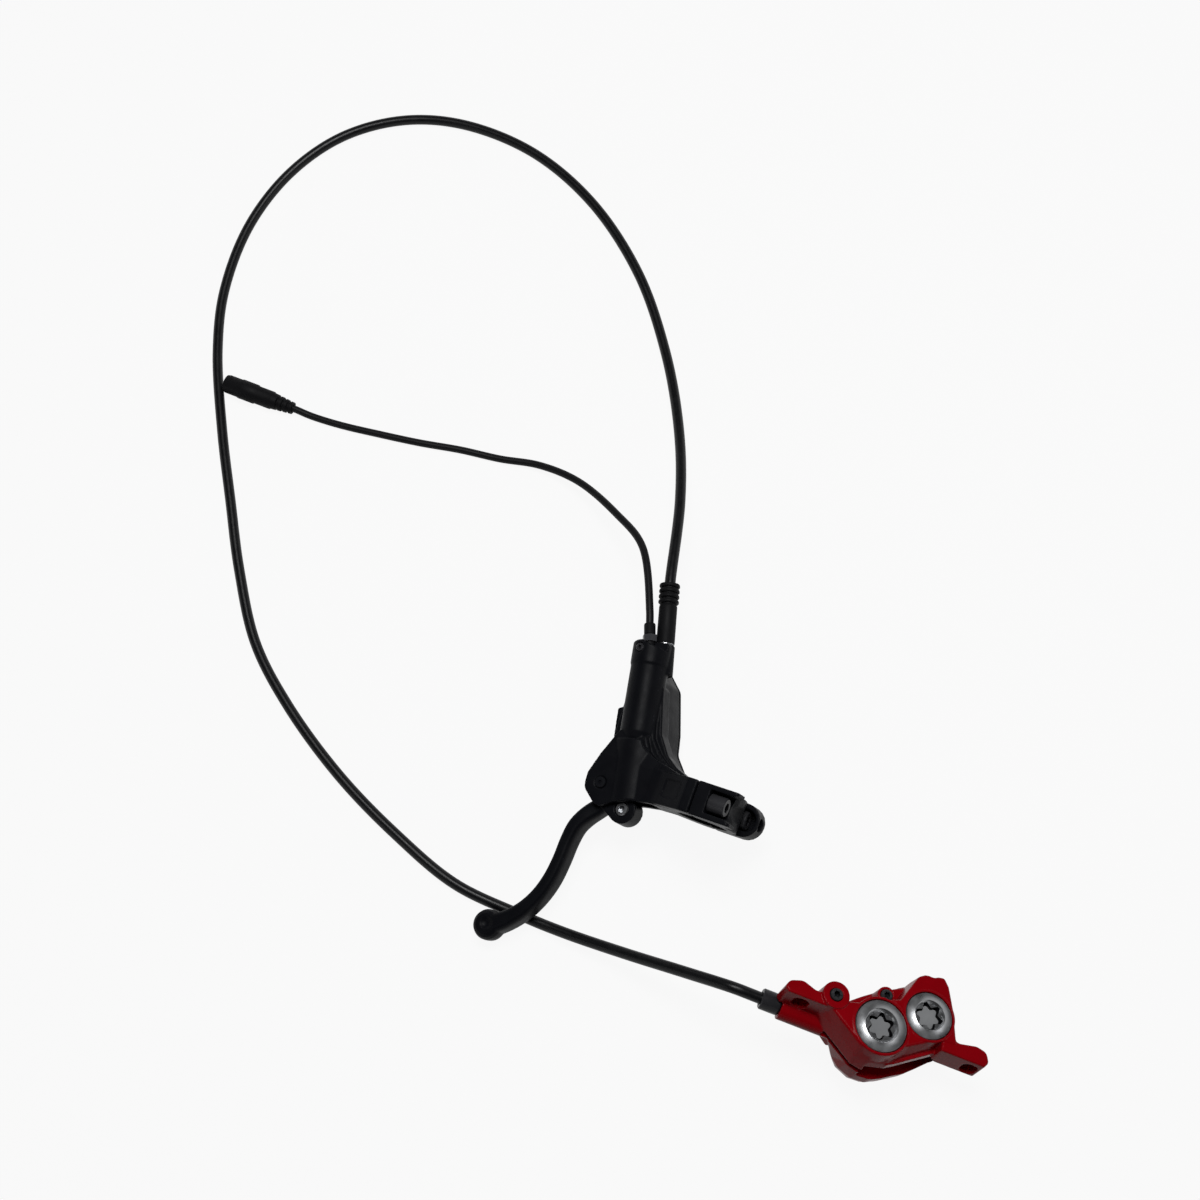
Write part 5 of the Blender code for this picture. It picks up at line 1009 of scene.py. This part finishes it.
# Hose fitting on the lever
turned("hose_nut_lever", hose_port, [
    (2.8, 6.6), (3.2, 6.6), (3.2, 1.7), (3.9, 1.5), (3.9, 0.3), (3.35, 0.2), (3.35, -4.6), (2.8, -4.6)],
    "machined_silver", ring=True)
boot_profile = [(2.8, 28.9), (3.6, 28.9)]
for k in range(4):
    z = 28.7 - 2.5 * k
    boot_profile += [
        (4.4, z), (4.65, z - 0.5), (4.65, z - 1.2), (4.3, z - 1.6), (3.7, z - 1.7), (3.7, z - 2.2)]
boot_profile += [
    (4.0, 18.5), (4.1, 17.9), (4.15, 1.4), (4.05, 0.7), (3.95, 0.7), (3.95, 1.9), (3.4, 1.9), (3.4, 7.4),
    (2.8, 8.4)]
turned("hose_boot", hose_port, boot_profile, "black_rubber", ring=True)

# Brake light switch with its nut
turned("brake_switch", switch_port, [
    (0, 5.2), (2.0, 5.2), (2.0, 8.8), (2.35, 8.8), (2.6, 8.2), (2.6, 3.9), (2.25, 3.7), (2.25, -6.8),
    (0, -7.0)],
    "black_rubber", steps=FINE_STEPS)
switch_nut = slab("switch_nut", switch_port, hexagon(5.8), 0.25, 3.4, "black_steel")
cut(switch_nut, upright("switch nut hole", switch_port, (0, 0), -1, 6, 2.4, steps=FINE_STEPS))

# Caliper body in one piece
caliper = cast("caliper_body", caliper_frame, CALIPER_LEVELS, "caliper_red")
round_edges(caliper, 0.9, 25)
inner = cast("inner half", caliper_frame, INNER_LEVELS)
round_edges(inner, 1.6, 25)
bosses = [
    upright("large cap boss", caliper_frame, LARGE_CENTRE, -17.1, -0.5, 13.2, 12.3, 96),
    upright("small cap boss", caliper_frame, SMALL_CENTRE, -17.2, -0.55, 12.0, 11.2, 96),
    upright("bleed boss", caliper_frame, BLEED_PLACE, -13.3, -0.1, 6.3, 5.7),
    upright("pin boss", caliper_frame, PIN_PLACE, -13, -3.6, 4.4, 3.8),
    upright("port barrel", caliper_port, (0, 0), -24, 0, 5.7),
]
for tool in bosses[:2]:
    round_edges(tool, 0.5)
ears = [
    slab("right ear", caliper_frame, rounded([
        (22.0, 0.0), (41.2, 0.0, 0.8), (42.6, 2.4, 2), (41.0, 6.4, 3), (36.5, 7.4, 4), (29.0, 5.8, 3),
        (22.0, 8.0)]),
        EAR_BOTTOM, -1.3),
    slab("left ear", caliper_frame, rounded([
        (-22.0, 0.0), (-44.4, 0.0, 0.8), (-46.2, 1.8, 1.5), (-44.8, 5.0, 3), (-39.5, 6.9, 4),
        (-33.5, 4.8, 3), (-22.0, 6.0)]),
        EAR_BOTTOM - 0.1, -1.25),
]
for tool in ears:
    round_edges(tool, 0.7)
rotor_x, rotor_y = ROTOR_CENTRE
start = math.atan2(0.5 - rotor_y, -26 - rotor_x)
stop = math.atan2(29 - rotor_y, 22 - rotor_x)
arc = [start + (stop - start) * k / 16 for k in range(17)]
bridge_inner = SLOT_RADIUS - 5.0
bridge_outline = [
    (rotor_x + radius * math.cos(angle), rotor_y + radius * math.sin(angle))
    for radius, angles in ((BRIDGE_RADIUS, arc), (bridge_inner, reversed(arc))) for angle in angles]
bridge = slab("bridge", caliper_frame, bridge_outline, -26.5, -11.0)
round_edges(bridge, 1.2)
shelf = slab("shelf", caliper_frame, rounded([
    (3.0, -11.8), (6.6, -9.7, 1), (21.0, 0.3, 1), (25.4, 3.1), (20.0, 7.0), (5.0, -4.0)]), -15.5, -8.3)
round_edges(shelf, 0.5)
join(caliper, inner, *bosses, *ears, bridge, shelf)

slot = upright("rotor slot", caliper_frame, ROTOR_CENTRE, ROTOR_PLANE - ROTOR_GAP / 2,
               ROTOR_PLANE + ROTOR_GAP / 2, SLOT_RADIUS, steps=160)
pocket = slab("pad pocket", pad_frame, rounded([
    (-18.2, 8.3, 1), (-7.2, 8.3), (-7.2, 17.6, 2), (2.6, 17.6, 2), (2.6, 8.3), (18.2, 8.3, 1),
    (18.2, -11.0), (7.0, -19.0), (-18.2, -19.0)]), -23.7, -13.0)
bleed_bore = upright("bleed bore", caliper_frame, BLEED_PLACE, -9, 2, 2.85,
                 steps=SMALL_STEPS)
nut_bore = upright("nut bore", caliper_port, (0, 0), -8.4, 3, PORT_RADIUS)
pin_bore = upright("pin bore", caliper_frame, PIN_PLACE, -29.5, 3, PAD_PIN_RADIUS + SEAT_GAP,
               steps=SMALL_STEPS)
pin_seat = upright("pin seat", caliper_frame, PIN_PLACE, -5.4, 3, 2.75, steps=SMALL_STEPS)
cut(caliper, slot, pocket, bleed_bore, nut_bore, pin_bore, pin_seat)
for label, centre, cap_radius, piston_radius in (
        ("large", LARGE_CENTRE, LARGE_CAP_RADIUS, LARGE_PISTON_RADIUS),
        ("small", SMALL_CENTRE, SMALL_CAP_RADIUS, SMALL_PISTON_RADIUS)):
    cap_seat = upright(f"{label} cap seat", caliper_frame, centre, -5.0, 4, cap_radius + SEAT_GAP,
                       steps=FINE_STEPS)
    piston_bore = upright(f"{label} bore", caliper_frame, centre, PISTON_BORE_END, 4,
                          piston_radius + SEAT_GAP, steps=FINE_STEPS)
    grooves = [annulus(f"{label} groove {low}", caliper_frame, piston_radius + 1.7, piston_radius - 1, low,
                       low + 2.2, (*centre, 0)) for low in (-11.6, -27.2)]
    cut(caliper, cap_seat, piston_bore, *grooves)
for sign in (-1, 1):
    cut(caliper, slab(f"ear slot {sign}", caliper_frame, rounded([
        (-3.15, -4.7, 3.1), (3.15, -4.7, 3.1), (3.15, 4.7, 3.1), (-3.15, 4.7, 3.1)]), -20, 20,
        place=(sign * EAR_SPACING / 2, 0, EAR_HOLE_Z), turn=(90 * DEG, 0, 0)))
cut(caliper, upright("spur scoop", caliper_frame, (12.4, 32.2), -30, 3, 3.3))

# Bore caps, which sit on the model's own cap seals. The star socket's floor is raised, with a moat round it
STAR_TIP = 5.9
STAR_WAIST = 4.0
STAR_MOAT = 1.1
STAR_FLOOR = -2.9
for label, centre, radius, star_turn in (("large", LARGE_CENTRE, LARGE_CAP_RADIUS, 36 * DEG),
                                         ("small", SMALL_CENTRE, SMALL_CAP_RADIUS, 56 * DEG)):
    bore_cap = turned(f"bore_cap_{label}", caliper_frame, [
        (0, -1.5), (radius * 0.54, -1.5), (radius * 0.61, -0.4), (radius * 0.65, -0.1),
        (radius - 0.6, -1.15), (radius - 0.3, -1.1), (radius, -1.4),
        (radius, -3.2), (radius - 2.6, -3.2), (radius - 2.6, -4.85), (0, -4.85)], "machined_silver",
        place=(*centre, 0), steps=FINE_STEPS)
    recess_tool = slab(f"{label} cap recess", caliper_frame, lobed(STAR_TIP, STAR_WAIST), -4.5, 3,
                       place=(*centre, 0), turn=(0, 0, star_turn))
    raised = slab(f"{label} cap recess floor", caliper_frame,
                  lobed(STAR_TIP - STAR_MOAT, STAR_WAIST - STAR_MOAT / 2), -4.7, STAR_FLOOR,
                  place=(*centre, 0), turn=(0, 0, star_turn))
    cut(bore_cap, recess_tool)
    join(bore_cap, raised)
pad_pin = turned("pad_pin", caliper_frame, [
    (0, -3.0), (2.0, -3.0), (2.45, -3.4), (2.45, -5.2), (1.5, -5.2), (1.5, -28.6), (1.1, -29.2), (0, -29.2)],
    "black_steel", place=(*PIN_PLACE, 0), steps=SMALL_STEPS)
hex_socket(pad_pin, 2.4, -4.6, 2)
caliper_bleed = turned("caliper_bleed_screw", caliper_frame, [
    (0, 0.7), (2.3, 0.7), (2.6, 0.3), (2.6, -6.0), (1.4, -7.4), (0, -7.6)], "black_steel",
    place=(*BLEED_PLACE, 0), steps=SMALL_STEPS)
hex_socket(caliper_bleed, 2.5, -1.8, 4)

# Hose fitting on the caliper
turned("hose_nut_caliper", caliper_port, [
    (2.8, 8.4), (4.0, 8.4), (4.4, 7.9), (4.4, 0.9), (4.1, 0.3), (3.35, 0.2), (3.35, -4.8), (2.8, -4.8)],
    "black_steel", ring=True)

# Fine pieces in the places of their nodes: castings with the step of their remeshing, then turned parts
for node, slot, body, voxel, smoothing in (
        ("master_cylinder_body", "black_paint", "brake_frame", 0.34 * MM, 7),
        ("clamp_cap", "black_paint", "brake_frame", 0.3 * MM, 5),
        ("reservoir_cover", "black_paint", "brake_frame", 0.3 * MM, 4),
        ("brake_lever", "black_paint", "lever", 0.3 * MM, 7),
        ("caliper_body", "caliper_red", "brake_frame", 0.3 * MM, 4)):
    fine_piece(node, body, voxel, smoothing)
fine_piece("pushrod_cross_pin", "lever")
for slot, nodes in (
        ("silver", ("bore_cap_large", "bore_cap_small", "hose_nut_lever")),
        ("rubber", ("hose_boot",)),
        ("black_steel", ("clamp_bolt_upper", "clamp_bolt_lower", "cover_screw_1", "cover_screw_2",
                         "cover_screw_3", "cover_screw_4", "lever_bleed_screw", "lever_pivot_pin",
                         "brake_switch", "switch_nut", "pad_pin", "caliper_bleed_screw",
                         "hose_nut_caliper"))):
    for node in nodes:
        fine_piece(node)

# Painted shade on the walls, and a milled floor with painted light, in the caps' recesses
to_caliper = caliper_frame.matrix_world.inverted()
for label, centre in (("large", LARGE_CENTRE), ("small", SMALL_CENTRE)):
    mesh = FINE.objects[f"bore_cap_{label}_fine"].data
    mesh.materials.clear()
    for finish_name in ("machined_silver", "recess_wall", "recess_floor"):
        mesh.materials.append(FINISHES[finish_name])
    for face in mesh.polygons:
        middle = to_caliper @ (face.center / MM)
        facing = (to_caliper.to_3x3() @ face.normal).z
        inside = math.hypot(middle.x - centre[0], middle.y - centre[1]) < STAR_TIP + 0.1
        if inside and -4.6 < middle.z < -1.55:
            # The walls take the painted shade, the raised floor the painted light
            face.material_index = 2 if facing > 0.9 and middle.z > STAR_FLOOR - 0.1 else 1
        else:
            face.material_index = 0

# Finishes of the nodes that show as they are
CARRIED = {
    "black_steel": ("outer_pad_plate", "inner_pad_plate"),
    "lining": ("outer_pad_lining", "inner_pad_lining"),
    "phenolic": ("outer_piston_large", "outer_piston_small", "inner_piston_large", "inner_piston_small"),
    "steel": ("pushrod", "master_piston", "master_return_spring", "piston_retaining_clip", "hose_barb_lever",
              "hose_barb_caliper", "pad_spring"),
    "brass": ("pivot_bush_upper", "pivot_bush_lower", "hose_olive_lever", "hose_olive_caliper"),
    "seal_rubber": ("reservoir_diaphragm", "primary_cup", "secondary_seal", "cap_seal_large",
                    "cap_seal_small", "outer_piston_seal_large", "outer_piston_seal_small",
                    "inner_piston_seal_large", "inner_piston_seal_small"),
}
for finish_name, nodes in CARRIED.items():
    for node in nodes:
        mesh = model["nodes"][node].data
        mesh.materials.clear()
        mesh.materials.append(FINISHES[finish_name])

# The return spring, which shortens as the piston goes in, towards its seat at the end of the bore: a copy with
# a mesh of its own on the brake's frame
coil = model["nodes"]["master_return_spring"]
spring = bpy.data.objects.new("master_return_spring_fine", coil.data.copy())
FINE.objects.link(spring)
spring.matrix_world = coil.matrix_world
bpy.context.view_layer.update()
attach(spring, "brake_frame")
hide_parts("master_return_spring")
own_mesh(spring)

for obj in list(BUILD.objects):
    bpy.data.objects.remove(obj, do_unlink=True)
bpy.data.collections.remove(BUILD)
